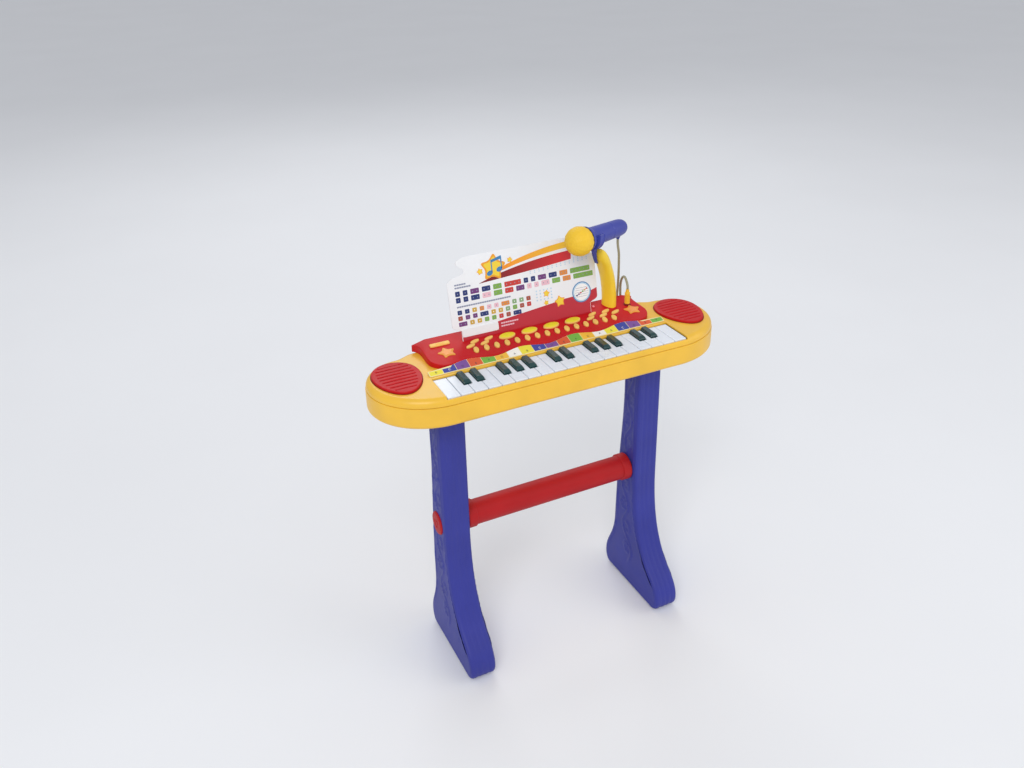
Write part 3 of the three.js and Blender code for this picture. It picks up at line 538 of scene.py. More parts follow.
def tube(line, radius, steps=14):
    """A round tube along a line, carried without twisting."""
    rings, side = [], None
    for i, p in enumerate(line):
        ahead = (line[min(i + 1, len(line) - 1)] - line[max(i - 1, 0)]).normalized()
        side = ahead.orthogonal() if side is None else side - ahead * side.dot(ahead)
        side.normalize()
        other = ahead.cross(side)
        rings.append(hoop(p, side, other, radius, steps))
    return Solid().loft(rings)


cord_line = through(CORD_ROUTE)
cord = tube(cord_line, CORD_DIAMETER / 2).make("microphone_cord", VINYL, None, ["mic_cord"], "cord_vinyl")
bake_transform(cord)


# ---------------------------------------------------------------- case
def case_outline(shrink):
    half_x, front, end_back = CASE_HALF_X - shrink, CASE_FRONT + shrink, CASE_END_BACK - shrink
    front_x, end_x, back = CASE_HALF_X - FRONT_CORNER_X, CASE_HALF_X - BACK_CORNER_X, CASE_BACK - shrink
    shape = Outline(-front_x, front).line(front_x, front)
    shape.arc(front_x, CASE_WAIST, half_x - front_x, CASE_WAIST - front, -pi / 2, 0, 28)
    shape.arc(end_x, CASE_WAIST, half_x - end_x, end_back - CASE_WAIST, 0, pi / 2, 22)
    shape.curve(end_x - 12, end_back, SHOULDER_X + 12, back, SHOULDER_X, back)
    shape.line(-SHOULDER_X, back)
    shape.curve(-SHOULDER_X - 12, back, -end_x + 12, end_back, -end_x, end_back)
    shape.arc(-end_x, CASE_WAIST, half_x - end_x, end_back - CASE_WAIST, pi / 2, pi, 22)
    shape.arc(-front_x, CASE_WAIST, half_x - front_x, CASE_WAIST - front, pi, 1.5 * pi, 28)
    return shape.loop()


def case_ring(shrink, z):
    return at_height(case_outline(shrink), z)


BAY_X, BAY_FRONT, BAY_BACK, BAY_TOP = 46, -44, -6, 411
COVER_Z, RAIL_Z = 389.9, 387.5
PORT_X, PORT_Z = -60, 412.5
SCREWS = [(x, y) for x in (-196, -92, 92, 196) for y in (-30, 40)]


def lower_case():
    rings = [case_ring(inward, BASE_Z + rise) for inward, rise in quarter(6, 6)]
    rings += [case_ring(0, PARTING_Z - 1.2), case_ring(0.35, PARTING_Z - 0.35), case_ring(1.1, PARTING_Z),
              case_ring(WALL, PARTING_Z), case_ring(WALL, BASE_Z + WALL)]
    body = Solid().loft(rings).make("lower_case_shell", YELLOW, stands_for=["lower_case"], slot="case_yellow")
    inner = [Solid().block(-BAY_X - 2, BAY_X + 2, BAY_FRONT - 2, BAY_BACK + 2, BASE_Z + 1, BAY_TOP + 2)]
    cuts = [Solid().block(-BAY_X, BAY_X, BAY_FRONT, BAY_BACK, BASE_Z - 5, BAY_TOP, 1),
            Solid().block(PORT_X - 7.3, PORT_X + 7.3, CASE_BACK - 5, CASE_BACK + 2, PORT_Z - 0.3,
                          PARTING_Z + 2, 0.8)]
    for side in (-1, 1):
        x, half = side * LEG_MIDDLE_X, LEG_WIDTH / 2 + GAP
        inner.append(Solid().block(x - half - 2.5, x + half + 2.5, LEG_FRONT - 2.8, LEG_BACK + 2.8,
                                   BASE_Z + 1, LEG_TOP_Z + 2.5))
        cuts.append(Solid().block(x - half, x + half, LEG_FRONT - GAP, LEG_BACK + GAP,
                                  BASE_Z - 5, LEG_TOP_Z + GAP))
    cuts += [Solid().turned([(3.2, 0), (3.2, 6)], (x, y, BASE_Z - 5), UP, 24) for x, y in SCREWS]
    combine(body, [tool(s) for s in inner], "UNION")
    combine(body, [tool(s) for s in cuts], "DIFFERENCE")
    finish_cut(body)


def battery_cover_rails():
    """Two angled rails that the cover slides in, and a stop at their front end."""
    trim = Solid()
    for side in (-1, 1):
        rail = [(47, RAIL_Z), (53.3, RAIL_Z), (53.3, BASE_Z + 1), (50.3, BASE_Z + 1), (50.3, COVER_Z - GAP),
                (47, COVER_Z - GAP)]
        ends = [[(side * x, y, z) for x, z in rail] for y in (BAY_FRONT - 5, BAY_FRONT + 85)]
        trim.loft(ends)
    trim.block(-53.3, 53.3, BAY_FRONT - 6.3, BAY_FRONT - 4.3, RAIL_Z, BASE_Z + 0.5)
    trim.make("battery_cover_rails", YELLOW, slot="case_yellow", bevel=0.4)


def case_screws():
    screws = Solid()
    head = [(0.2, 0.4), (0.6, 0.9), (1, 0), (2.2, -0.3), (2.7, 0.4), (2.7, 1.2)]
    for x, y in SCREWS:
        screws.turned(head, (x, y, BASE_Z + 0.2), UP, 20)
    screws.make("case_screws", METAL, slot="socket_metal")


def upper_case():
    section = ((6.5, 429.5), (3.8, 426), (3.8, PARTING_Z + GAP), (1.6, PARTING_Z + GAP),
               (0.95, PARTING_Z + 0.55), (0.8, PARTING_Z + 1.1))
    rings = [case_ring(inward, z) for inward, z in section]
    rings += [case_ring(0.8 + inward, DECK_Z - drop) for drop, inward in quarter(8, 8)]
    body = Solid().loft(rings).make("upper_case_shell", YELLOW, stands_for=["upper_case"], slot="case_yellow")
    openings = ((-WELL_HALF_X, WELL_HALF_X, KEY_FRONT - 1, DECK_EDGE, 0.8, PARTING_Z - 10, DECK_Z + 9),
                (-WELL_HALF_X, WELL_HALF_X, CASE_FRONT - 9, KEY_FRONT + 2, 0.8, LIP_Z, DECK_Z + 8),
                (-126, 130, 7, 39, 2, 425, DECK_Z + 7), (-151, -127, 38, 50, 2, 425, DECK_Z + 7))
    cuts = [Solid().slab(rounded(*place), low, high) for *place, low, high in openings]
    for x in (-SPEAKER_X, SPEAKER_X):
        cuts.append(Solid().turned([(25, 0), (25, 20)], (x, SPEAKER_Y, 424), UP, 64))
    combine(body, [tool(s) for s in cuts], "DIFFERENCE")
    finish_cut(body, bevel=0.7)


def battery_cover():
    lid = Solid().slab(rounded(-50, 50, BAY_FRONT - 4, BAY_BACK + 4, 1.5), COVER_Z, BASE_Z - GAP, 0.5, 0.3)
    for i in range(3):
        y = BAY_BACK - 10 + 4 * i
        lid.block(-12, 12, y, y + 2, COVER_Z - 1.3, COVER_Z + 0.6, 0.8)
    lid.make("battery_cover_lid", YELLOW, "battery_cover", ["battery_cover"], "case_yellow")


# ---------------------------------------------------------------- keys
def key_edge(i):
    return (i - WHITE_KEYS / 2) * KEY_PITCH


def two(n):
    return str(n).rjust(2, "0")


def white_keys():
    shoulder, notch = BLACK_FRONT - 1.5, BLACK_WIDTH / 2 + 0.8
    visible_end = DECK_EDGE - 0.8
    for index in range(1, WHITE_KEYS + 1):
        left, right = key_edge(index - 1) + KEY_GAP / 2, key_edge(index) - KEY_GAP / 2

        def outline(back):
            shape = Outline(left + 1, KEY_FRONT)
            shape.line(right - 1, KEY_FRONT)
            shape.curve(right - 0.4, KEY_FRONT, right, KEY_FRONT + 0.4, right, KEY_FRONT + 1, 3)
            if index in BLACK_AFTER:
                x = key_edge(index) - notch
                shape.line(right, shoulder).line(x, shoulder).line(x, back)
            else:
                shape.line(right, back)
            if index - 1 in BLACK_AFTER:
                x = key_edge(index - 1) + notch
                shape.line(x, back).line(x, shoulder).line(left, shoulder)
            else:
                shape.line(left, back)
            shape.line(left, KEY_FRONT + 1)
            shape.curve(left, KEY_FRONT + 0.4, left + 0.4, KEY_FRONT, left + 1, KEY_FRONT, 3)
            return shape.loop()

        key = Solid().slab(outline(visible_end), KEY_BOTTOM, KEY_TOP, 0, 0.9, 4)
        tail_left = key_edge(index - 1) + notch if index - 1 in BLACK_AFTER else left
        tail_right = key_edge(index) - notch if index in BLACK_AFTER else right
        key.block(tail_left, tail_right, visible_end - 3, KEY_TAIL_END, KEY_BOTTOM + 0.2, KEY_TAIL_TOP)
        name = "white_key_" + two(index)
        key.make(name + "_top", KEY_WHITE, name, [name], "key_white")


def black_keys():
    for i, after in enumerate(BLACK_AFTER):
        x, half, name = key_edge(after), BLACK_WIDTH / 2, "black_key_" + two(i + 1)
        end = DECK_EDGE - 0.8
        rings = []
        for shrink, front, z in ((0, 0, KEY_BOTTOM), (0, 0.1, 431), (0.15, 0.9, 432),
                                 (1.15, 4.4, BLACK_TOP - 0.25), (1.5, 5.2, BLACK_TOP)):
            section = rounded(x - half + shrink, x + half - shrink, BLACK_FRONT + front, end, 0.9, 4)
            rings.append(at_height(section, z))
        key = Solid().loft(rings)
        key.block(x - half, x + half, end - 3, KEY_TAIL_END, KEY_BOTTOM + 0.2, KEY_TAIL_TOP)
        key.make(name + "_top", KEY_BLACK, name, [name], "key_black", crease=24)


# ---------------------------------------------------------------- control panel
def panel_z(y):
    return PANEL_FRONT_Z + PANEL_SLOPE * (y - PANEL_FRONT)


def panel_wave(x):
    return PANEL_FRONT - PANEL_WAVE * cos(2 * pi * (x + 2) / WAVE_LENGTH)


CREASE_FRONT = Vector((170.7, -14, panel_z(-14)))
CREASE_BACK = Vector((147.8, 70, panel_z(70)))
ROOF_NORMAL = (CREASE_BACK - CREASE_FRONT).cross(Vector((PANEL_HALF_X, 62, 440.5)) - CREASE_FRONT)


def roof(x, y):
    """The panel's top: a slope up to the back that falls away at the back corners."""
    to = Vector((abs(x), y, 0)) - CREASE_FRONT
    fall = CREASE_FRONT.z - (ROOF_NORMAL.x * to.x + ROOF_NORMAL.y * (y - CREASE_FRONT.y)) / ROOF_NORMAL.z
    return min(panel_z(y), fall)


def panel_outline():
    steps = 84
    shape = Outline(-WAVE_END, panel_wave(-WAVE_END))
    for i in range(1, steps + 1):
        x = -WAVE_END + 2 * WAVE_END * i / steps
        shape.line(x, panel_wave(x))
    side, back = PANEL_HALF_X, PANEL_BACK
    shape.curve(153, -0.5, 162.5, 10, 162, 24).curve(161.5, 40, 158, 56, side - 1.2, back - 1.6)
    shape.curve(side - 0.8, back - 0.6, side - 1.4, back, side - 2.4, back, 3).line(-side + 2.4, back)
    shape.curve(-side + 1.4, back, -side + 0.8, back - 0.6, -side + 1.2, back - 1.6, 3)
    shape.curve(-158, 56, -161.5, 40, -162, 24)
    shape.curve(-162.5, 10, -153, -0.5, -WAVE_END, panel_wave(-WAVE_END))
    return shape.loop()


SMALL_OVALS = [(6 + 14.7 * (i - 7), 16, 3.6, 6, -0.2) for i in range(15)]
BIG_OVALS = [(3 + 32.7 * (i - 1.5), 30.5, 12, 6, 0.08) for i in range(4)]
LEFT_LEAVES = [(x, y, 7, 2.7, 0.3) for x, y in ((-91, 34.4), (-100, 26.6), (-71, 34.4), (-80, 26.6))]
RIGHT_LEAVES = [(x, y, 7, 2.7, 0.3) for x, y in ((85, 34.4), (78, 26.6), (106, 34.4), (98, 26.6), (118, 28))]
SWITCH_X, SWITCH_Y, SWITCH_HALF_X, SWITCH_HALF_Y, SWITCH_TRAVEL = -136, 44, 13.5, 3, 4.5
MAT_Z, MAT_THICKNESS, BUTTON_PROUD = 427, 1.5, 1.3


def control_panel():
    holes = [ellipse(x, y, rx + 0.35, ry + 0.35, turn, 28)
             for x, y, rx, ry, turn in SMALL_OVALS + BIG_OVALS + LEFT_LEAVES + RIGHT_LEAVES]
    slot_half = BOARD_HALF_X - BOARD_TENON + 0.6
    slot_y = BOARD_FOOT_Y + (panel_z(41) - BOARD_FOOT_Z) * tan(BOARD_LEAN)
    holes.append(rounded(BOARD_MIDDLE_X - slot_half, BOARD_MIDDLE_X + slot_half, slot_y - 1.5,
                         slot_y + 1.5, 1))
    holes.append(ellipse(JACK_X, JACK_Y, 4.6, 4.6, 0, 28))
    reach = SWITCH_TRAVEL + 4.3
    holes.append(rounded(SWITCH_X - reach, SWITCH_X + reach, SWITCH_Y - 1.9, SWITCH_Y + 1.9, 0.8))
    seams = [((side * 159.8, 26), (side * 149.6, 63.5)) for side in (-1, 1)]
    panel = Solid().cover(panel_outline(), holes, DECK_Z + GAP, roof, 0.9, 4, seams=seams)
    panel.make("control_panel_cover", RED, stands_for=["control_panel"], slot="panel_red")


def panel_lights():
    """A star at each end of the panel, and a small round lamp."""
    gold, core = Solid(), Solid()
    for x, y, turn in ((-134, 24, 0.12), (143, 24, -0.1)):
        sloped = lambda px, py: PANEL_SLOPE * (py - PANEL_FRONT)
        outer, inner = star(x, y, 12.5, 0.52, turn, 1.08), star(x, y, 9.2, 0.5, turn, 1.08)
        gold.slab(outer, PANEL_FRONT_Z - 1, PANEL_FRONT_Z + 1, 0, 0.5, 3, top=sloped)
        core.slab(inner, PANEL_FRONT_Z + 0.5, PANEL_FRONT_Z + 1.5, 0, 0.5, 4, top=sloped)
    for solid in (gold, core):
        solid.verts = [(x, y, z if z > PANEL_FRONT_Z else panel_z(y) - 1.5) for x, y, z in solid.verts]
    gold.make("star_light_bezels", GOLD, slot="panel_red")
    core.make("star_light_lenses", STAR_CORE, slot="button_cream")
    place, lean = (96, 50, panel_z(50)), (0, -0.1, 1)
    lamp = Solid().turned([(2.6, -2), (2.6, 0.2), (2.3, 0.5), (1.9, 0.5)], place, lean, 28)
    lamp.turned([(1.8, -1), (1.8, 0.9), (1.55, 1.7), (1, 2.3), (0.3, 2.5)], place, lean, 28, 1)
    lamp.make("power_lamp", [RED, PINK])


def button(solid, x, y, rx, ry, turn, dome=0.5, cap=False):
    """A rubber button that stands on its mat and follows the panel's slope, with a softly domed top."""
    def ring(scale_x, scale_y, rise):
        return [(px, py, panel_z(py) + rise) for px, py in ellipse(x, y, rx * scale_x, ry * scale_y, turn)]

    rings = [at_height(ellipse(x, y, rx, ry, turn), MAT_Z + MAT_THICKNESS / 2)]
    for drop, inward in quarter(0.9, 3):
        rings.append(ring(1 - inward / rx, 1 - inward / ry, BUTTON_PROUD - drop))
    for share in (0.55, 0.25):
        rings.append(ring(share, share, BUTTON_PROUD + dome * (1 - share ** 2) * 0.8))
    solid.loft(rings)
    if cap:                        # a second colour that leaves a rim of the first
        lid = ((0.86, -0.3), (0.87, 0.25), (0.84, 0.42), (0.6, dome * 0.8), (0.3, dome))
        solid.loft([ring(share, share, BUTTON_PROUD + lift) for share, lift in lid], 1)


def keypad(name, buttons, margin_x, margin_y, paint, slot, dome=0.5):
    xs, ys = [b[0] for b in buttons], [b[1] for b in buttons]
    pad = Solid().block(min(xs) - margin_x, max(xs) + margin_x, min(ys) - margin_y, max(ys) + margin_y, MAT_Z,
                        MAT_Z + MAT_THICKNESS, 0.6)
    for b in buttons:
        button(pad, *b, dome, isinstance(paint, list))
    pad.make(name + "_rubber", paint, name, [name], slot)


def controls():
    keypad("sound_button_strip", SMALL_OVALS, 6, 6, CREAM, "button_cream")
    keypad("left_function_keypad", LEFT_LEAVES, 9, 4, CREAM, "button_cream", 0.3)
    keypad("right_function_keypad", RIGHT_LEAVES, 9, 4, CREAM, "button_cream", 0.3)
    for i, b in enumerate(BIG_OVALS):
        keypad("drum_pad_" + str(i + 1), [b], b[2] + 1.5, b[3] + 0.4, [CREAM, LEMON], "button_lemon", 0.9)


def power_switch():
    low = panel_z(SWITCH_Y - SWITCH_HALF_Y) + GAP
    knob = Solid().slab(rounded(SWITCH_X - SWITCH_HALF_X, SWITCH_X + SWITCH_HALF_X, SWITCH_Y - SWITCH_HALF_Y,
                                SWITCH_Y + SWITCH_HALF_Y, 1.6), low, low + 2, 0, 0.7, 3,
                        top=lambda x, y: PANEL_SLOPE * (y - SWITCH_Y + SWITCH_HALF_Y))
    knob.verts = [(x, y, z if z > low + 0.5 else panel_z(y) + GAP) for x, y, z in knob.verts]
    for i in range(-3, 4):
        x = SWITCH_X + 1.6 * i
        knob.block(x - 0.35, x + 0.35, SWITCH_Y - 2.2, SWITCH_Y + 2.2, low + 1.5, low + 2.8, 0.3)
    knob.block(SWITCH_X - 4, SWITCH_X + 4, SWITCH_Y - 1.5, SWITCH_Y + 1.5, DECK_Z - 1, low + 1)
    knob.make("power_switch_knob", CREAM, "power_switch", ["power_switch"], "button_cream")


# ---------------------------------------------------------------- note labels
NOTE_PAINTS = [material("note_" + name, code, roughness=0.38, coat=0.25, bump=0.02) for name, code in (
    ("lemon", "EBDD3C"), ("blue", "35419A"), ("purple", "7A4C98"), ("orange", "DC5A2C"), ("green", "72B040"),
    ("gold", "F0B93A"), ("white", "F4F0E8"))]
INK = material("label_ink", "3A3A48", roughness=0.6, bump=0.02)


def label_rise(x, y):
    return LABEL_SLOPE * (y - LABEL_FRONT)


def label_strip():
    """A ledge that rises from the keys to the panel, with a coloured cell behind each key."""
    low, end = DECK_Z + GAP, PANEL_FRONT - 4
    shape = Outline(-WELL_HALF_X, LABEL_FRONT).line(WELL_HALF_X, LABEL_FRONT).line(WELL_HALF_X, end)
    for i in range(57):
        x = WAVE_END - 2 * WAVE_END * i / 56
        shape.line(x, panel_wave(x) - GAP - 0.2)
    shape.line(-WELL_HALF_X, end)
    strip = Solid().slab(shape.loop(), low, low + 0.8, 0, 0.25, 2, top=label_rise)
    strip.make("note_label_card", LABEL_BASE, stands_for=["note_label_strip"], slot="label_print")
    cells = Solid()
    for i in range(WHITE_KEYS):
        x0, x1 = key_edge(i) + 0.35, key_edge(i + 1) - 0.35
        cell = Outline(x0, LABEL_FRONT + 0.8).line(x1, LABEL_FRONT + 0.8)
        for k in range(7):
            x = x1 + (x0 - x1) * k / 6
            cell.line(x, end - 0.8 if abs(x) > WAVE_END else panel_wave(x) - 0.9)
        drawn = cell.loop()
        rings = [[(x, y, low + lift + label_rise(x, y)) for x, y in drawn] for lift in (0.7, 0.92)]
        cells.loft(rings, i % 7)
    cells.make("note_label_cells", NOTE_PAINTS, slot="label_print")


def note_letters():
    """A letter on each cell, just above its face."""
    for i in range(WHITE_KEYS):
        text = bpy.data.curves.new("note", "FONT")
        text.body, text.size, text.extrude = "BCDEFGA"[i % 7], 0.0046, 0.00004
        text.align_x, text.align_y = "CENTER", "CENTER"
        drawn = add_object("note", text)
        y = LABEL_FRONT + 4.6
        drawn.location = metres((key_edge(i) + KEY_PITCH / 2, y, DECK_Z + GAP + 0.97 + label_rise(0, y)))
        drawn.rotation_euler.x = atan(LABEL_SLOPE)
        bpy.context.view_layer.update()
        mesh = bpy.data.meshes.new_from_object(drawn.evaluated_get(bpy.context.evaluated_depsgraph_get()))
        mesh.transform(drawn.matrix_world)
        bpy.data.objects.remove(drawn)
        mesh.materials.clear()
        mesh.materials.append(INK if i % 7 != 1 else NOTE_PAINTS[6])
        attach(add_object("note_letter_" + two(i + 1), mesh), "case")


# ---------------------------------------------------------------- speakers
def grille_outline(side, scale=1.0, steps=72):
    loop = []
    for i in range(steps):
        angle = 2 * pi * i / steps
        x = GRILLE_HALF_X * scale * (1 + GRILLE_FLARE * sin(angle)) * cos(angle)
        loop.append((side * SPEAKER_X + x, SPEAKER_Y + GRILLE_HALF_Y * scale * sin(angle)))
    return loop


def speakers():
    for name, side in (("left", -1), ("right", 1)):
        slots = []
        for i in range(-4, 5):
            sine = i * SLOT_PITCH / GRILLE_HALF_Y
            half = 0.78 * GRILLE_HALF_X * (1 + GRILLE_FLARE * sine) * sqrt(1 - sine * sine)
            x, y = side * SPEAKER_X, SPEAKER_Y + i * SLOT_PITCH
            slots.append(rounded(x - half, x + half, y - 0.6, y + 0.6, 0.5, 4))

        def crown(x, y):
            reach = hypot((x - side * SPEAKER_X) / GRILLE_HALF_X, (y - SPEAKER_Y) / GRILLE_HALF_Y)
            ridge = 0.9 * max(0, 1 - abs(reach - 0.93) / 0.07)
            return DECK_Z + GAP + 2.6 + 0.8 * max(0, 1 - reach ** 2) + ridge * 0.5

        grille = Solid().cover(grille_outline(side), slots, DECK_Z + GAP, crown, 0.8, 3, spacing=2.6)
        grille.make(name + "_speaker_grille_cover", RED, "case", [name + "_speaker_grille"], "panel_red")
        rim = Solid()
        rim.loft([at_height(grille_outline(side, scale), DECK_Z + rise)
                  for scale, rise in ((1.035, -0.2), (1.032, 0.45), (1.004, 0.45), (1.0, 0.1))])
        gasket = material(name + "_gasket", "8E2A12", roughness=0.6)
        rim.make(name + "_speaker_gasket", gasket, slot="panel_red")
        cloth = Solid().slab(grille_outline(side, 0.9), DECK_Z - 1.2, DECK_Z - 0.4, 0, 0.2, 2)
        cloth.make(name + "_speaker_cloth", CLOTH, slot="speaker_cone")
        profile = [(0.3, 421), (5, 420), (8, 418), (23, 426), (24.5, 427.5), (27, 427.5),
                   (27, 424), (24, 424), (12, 414), (12, 408), (0.3, 408)]
        cone = Solid().turned(profile, (side * SPEAKER_X, SPEAKER_Y, 0), (0, 0, 1), 48)
        cone.make(name + "_speaker_cone", CONE, stands_for=[name + "_speaker"], slot="speaker_cone")


# ---------------------------------------------------------------- song board
def on_board(point):
    """A point given as its distance from the left edge, height up the board and distance out of it."""
    u, v, out = point
    return (BOARD_MIDDLE_X - BOARD_HALF_X + u, BOARD_FOOT_Y + v * sin(BOARD_LEAN) - out * cos(BOARD_LEAN),
            BOARD_FOOT_Z + v * cos(BOARD_LEAN) + out * sin(BOARD_LEAN))


def board_outline():
    wide, top, low = 2 * BOARD_HALF_X, BOARD_HEIGHT, BOARD_TENON
    shape = Outline(low, 0).line(wide - low, 0).line(wide - low, 17)
    shape.curve(wide - low, 20, wide, 19, wide, 26).line(wide, 80)
    shape.curve(wide, 90, wide - 21, 87, wide - 24, 93)
    shape.curve(wide - 28, 98, wide - 16, 100, wide - 15, 105)
    shape.curve(wide - 15, 111, wide - 24, top, wide - 38, top)
    shape.line(38, top).curve(24, top, 15, 111, 15, 105).curve(16, 100, 28, 98, 24, 93)
    shape.curve(21, 87, 0, 90, 0, 80).line(0, 26).curve(0, 19, low, 20, low, 17)
    return shape.loop()


# crimson is print on the foot of the sheet, and also painted shadow below the plaque.
PRINT_CODES = {
    "navy": "23336E", "purple": "713A78", "pink": "E9BBC6", "green": "7DAA4A", "sage": "86A878",
    "red": "C93A32", "orange": "DB8A3E", "gold": "CDA43C", "brown": "A8503A", "sky": "BFD9EA",
    "blue": "3D7FB4", "sun": "F3D23C", "amber": "EE9F28", "crimson": "BE2836", "white": "F8F8F6",
    "grey": "8E93A8",
}
PRINT_FADES = {"sweep_red": ("7E1A1C", "D2262B", 45), "sweep_gold": ("F08A1E", "F5C63A", 60)}
BADGE_U, BADGE_V = 191.7, 34.8


def print_paints():
    gloss = {"roughness": 0.32, "coat": 0.3, "bump": 0.02}
    plain = [material("print_" + name, code, depth=0.03, mottle=40, **gloss)
             for name, code in PRINT_CODES.items()]
    return plain + [material("print_" + name, code, sweep=(other, -45, end), **gloss)
                    for name, (code, other, end) in PRINT_FADES.items()]


class Print(Solid):
    """Flat shapes of ink on the song board, laid over each other in layers."""

    marks_by_name = {name: i for i, name in enumerate([*PRINT_CODES, *PRINT_FADES])}

    def flat(self, loop, name, layer=0):
        self.slab(loop, 0.9, 1.1 + 0.08 * layer, mark=self.marks_by_name[name])

    def dot(self, u, v, ru, rv, name, layer=0, turn=0.0, steps=36):
        self.flat(ellipse(u, v, ru, rv, turn, steps), name, layer)


def print_bands(ink):
    """The big fade across the top, in gold over dark red to red, and the red foot of the sheet, which below
    the plaque is painted shadow.
    """
    gold = Outline(70, 84).curve(105, 93, 140, 98, 178, 99.5).line(178, 108).curve(140, 106, 104, 100, 70, 88)
    ink.flat(gold.loop(), "sweep_gold")
    red = Outline(44, 74.5).curve(90, 77, 135, 79, 180, 83).line(181.5, 95).curve(140, 94, 84, 88, 44, 74.8)
    ink.flat(red.loop(), "sweep_red", 1)
    # The foot is crimson print; its stretch below the plaque, from u 12.6 to 64 and up to v 8.8, is painted
    # shadow under the plaque.
    foot = Outline(12.6, 1).line(203.4, 1).line(203.4, 17)
    foot.curve(203.4, 20, 215.4, 20, 215.4, 26).line(215.4, 37)
    foot.curve(196, 31, 180, 31, 166, 30.5).curve(140, 27, 100, 24, 64, 20).line(64, 8.8).line(12.6, 8.8)
    ink.flat(foot.loop(), "crimson")


def print_notes(ink):
    """Rows of coloured note blocks. navy*2 is a block two squares wide, with a dot for each square."""
    gap = 4.2
    rows = (
        (66.6, 6.8, 6.4, "navy navy purple*2 navy*2 green*2 red*4 navy navy purple*2 navy*2 orange*2"
                         " green*5"),
        (58.2, 6.8, 6.4, "navy navy navy*2 pink*2 green*2 red*2 purple*2 pink pink pink*2 green*2 orange*2"
                         " green*5"),
        (42.0, 5.8, 6.2, "navy navy gold orange pink pink orange*2 sage sage brown"),
        (34.2, 5.8, 6.2, "brown purple purple navy*2 gold gold sage green brown red"),
        (26.4, 5.8, 6.2, "purple*2 gold gold green green red brown navy*2"),
    )
    for middle, tall, unit, blocks in rows:
        u = 9.4
        for block in blocks.split():
            name, _, squares = block.partition("*")
            wide = int(squares or 1)
            width = unit * wide if wide < 2 else (unit - 0.4) * wide
            ink.flat(rounded(u, u + width, middle - tall / 2, middle + tall / 2, 0.8, 2), name)
            dot_name = "white" if name in ("gold", "sage") else "grey"
            for k in range(wide):
                ink.dot(u + width * (k + 0.5) / wide, middle, 0.7, 0.8, dot_name, 1, steps=10)
            u += width + gap


def print_headings(ink):
    """Rows of dashes, and two fields of pale dots."""
    for u, v, wide in ((9.6, 78.4, 17), (9.6, 74.6, 24), (9.6, 49.4, 78), (68, 16.5, 26), (68, 12.5, 22)):
        for k in range(int(wide / 3.2)):
            dash = rounded(u + 3.2 * k, u + 3.2 * k + 2.8, v - 1, v + 1, 0.3, 2)
            ink.flat(dash, "grey" if v > 20 else "pink", 1)
    for i in range(14):
        for j in range(3):
            ink.dot(118 + 6.6 * i, 74.5 + 2.6 * j + 0.35 * i, 0.9, 0.9, "sky", steps=10)
    for i in range(5):
        for j in range(4):
            ink.dot(124 + 5.5 * i, 36 + 4.2 * j, 1.2, 1.2, "sky", steps=10)


def print_stars(ink):
    """Stars, with a pair of notes on the big one."""
    stars = ((66, 92, 20, -0.12, 2), (157.5, 28.6, 9, 0.15, 2), (138.5, 43, 5.6, -0.2, 1),
             (137, 30.5, 4.2, 0.3, 1), (47, 90, 5, 0.3, 4), (90.5, 98, 4.4, -0.3, 4))
    for u, v, radius, turn, layer in stars:
        ink.flat(star(u, v, radius, 0.55, turn), "amber", layer)
        ink.flat(star(u, v, radius * 0.8, 0.55, turn), "sun", layer + 1)
    ink.dot(60.5, 85.5, 4.4, 3.2, "blue", 4, 0.4)
    ink.dot(74.5, 88.5, 4.4, 3.2, "blue", 4, 0.4)
    stems = [(63.2, 86), (64.7, 86), (64.7, 99), (77.2, 101.8), (77.2, 89), (78.7, 89), (78.7, 106),
             (63.2, 102.4)]
    ink.flat(stems, "blue", 4)


def print_badge(ink):
    """A round badge with a stave of five lines and a rising row of notes."""
    for radius, name, layer in ((14.4, "blue", 1), (13.1, "sky", 2), (11.4, "white", 3)):
        ink.dot(BADGE_U, BADGE_V, radius, radius, name, layer, steps=48)
    for k in range(5):
        v = BADGE_V + 3 * (k - 2)
        reach = sqrt(11 ** 2 - (v - BADGE_V) ** 2) - 0.6
        ink.flat(rounded(BADGE_U - reach, BADGE_U + reach, v - 0.2, v + 0.2, 0.1, 1), "grey", 4)
    for k, name in enumerate(("navy", "purple", "red", "green", "gold", "red")):
        ink.dot(184 + 3.1 * k, 31 + 1.5 * k, 1.4, 1.1, name, 5, 0.3, 14)


def song_board():
    sheet = Solid().slab(board_outline(), -1, 1, 0.3, 0.3, 2).moved(on_board)
    sheet.make("song_board_sheet", CARD, "song_board", ["song_board"], "song_card")
    ink = Print()
    for part in (print_bands, print_notes, print_headings, print_stars, print_badge):
        part(ink)
    ink.moved(on_board).make("song_board_print", print_paints(), "song_board", slot="song_card")
    plaque = Solid().slab(rounded(12.2, 64, 8.6, 20, 3, 5), 0.9, 2.2, 0, 0.6, 3)
    plaque.moved(on_board).make("song_board_plaque", CARD, "song_board", slot="song_card")


# ---------------------------------------------------------------- stand
def leg_outline(low=FLOOR_Z + 0.8):
    shape = Outline(FOOT_FRONT + 15, low).line(FOOT_BACK - 14, low)
    shape.curve(FOOT_BACK - 5, low, FOOT_BACK, 0, FOOT_BACK, 12, 8).curve(FOOT_BACK, 36, 37, 52, 35, 90, 16)
    shape.curve(34, 120, 33, 160, 29, BAR_Z, 12).curve(25, 250, LEG_BACK, 280, LEG_BACK, 330, 12)
    shape.line(LEG_BACK, LEG_TOP_Z).line(LEG_FRONT, LEG_TOP_Z).line(LEG_FRONT, 185)
    shape.curve(-20, 120, -34, 78, -62, 50, 18).curve(-78, 36, FOOT_FRONT, 26, FOOT_FRONT, 8, 10)
    shape.curve(FOOT_FRONT, -2, FOOT_FRONT + 6, low, FOOT_FRONT + 15, low, 6)
    return shape.loop()


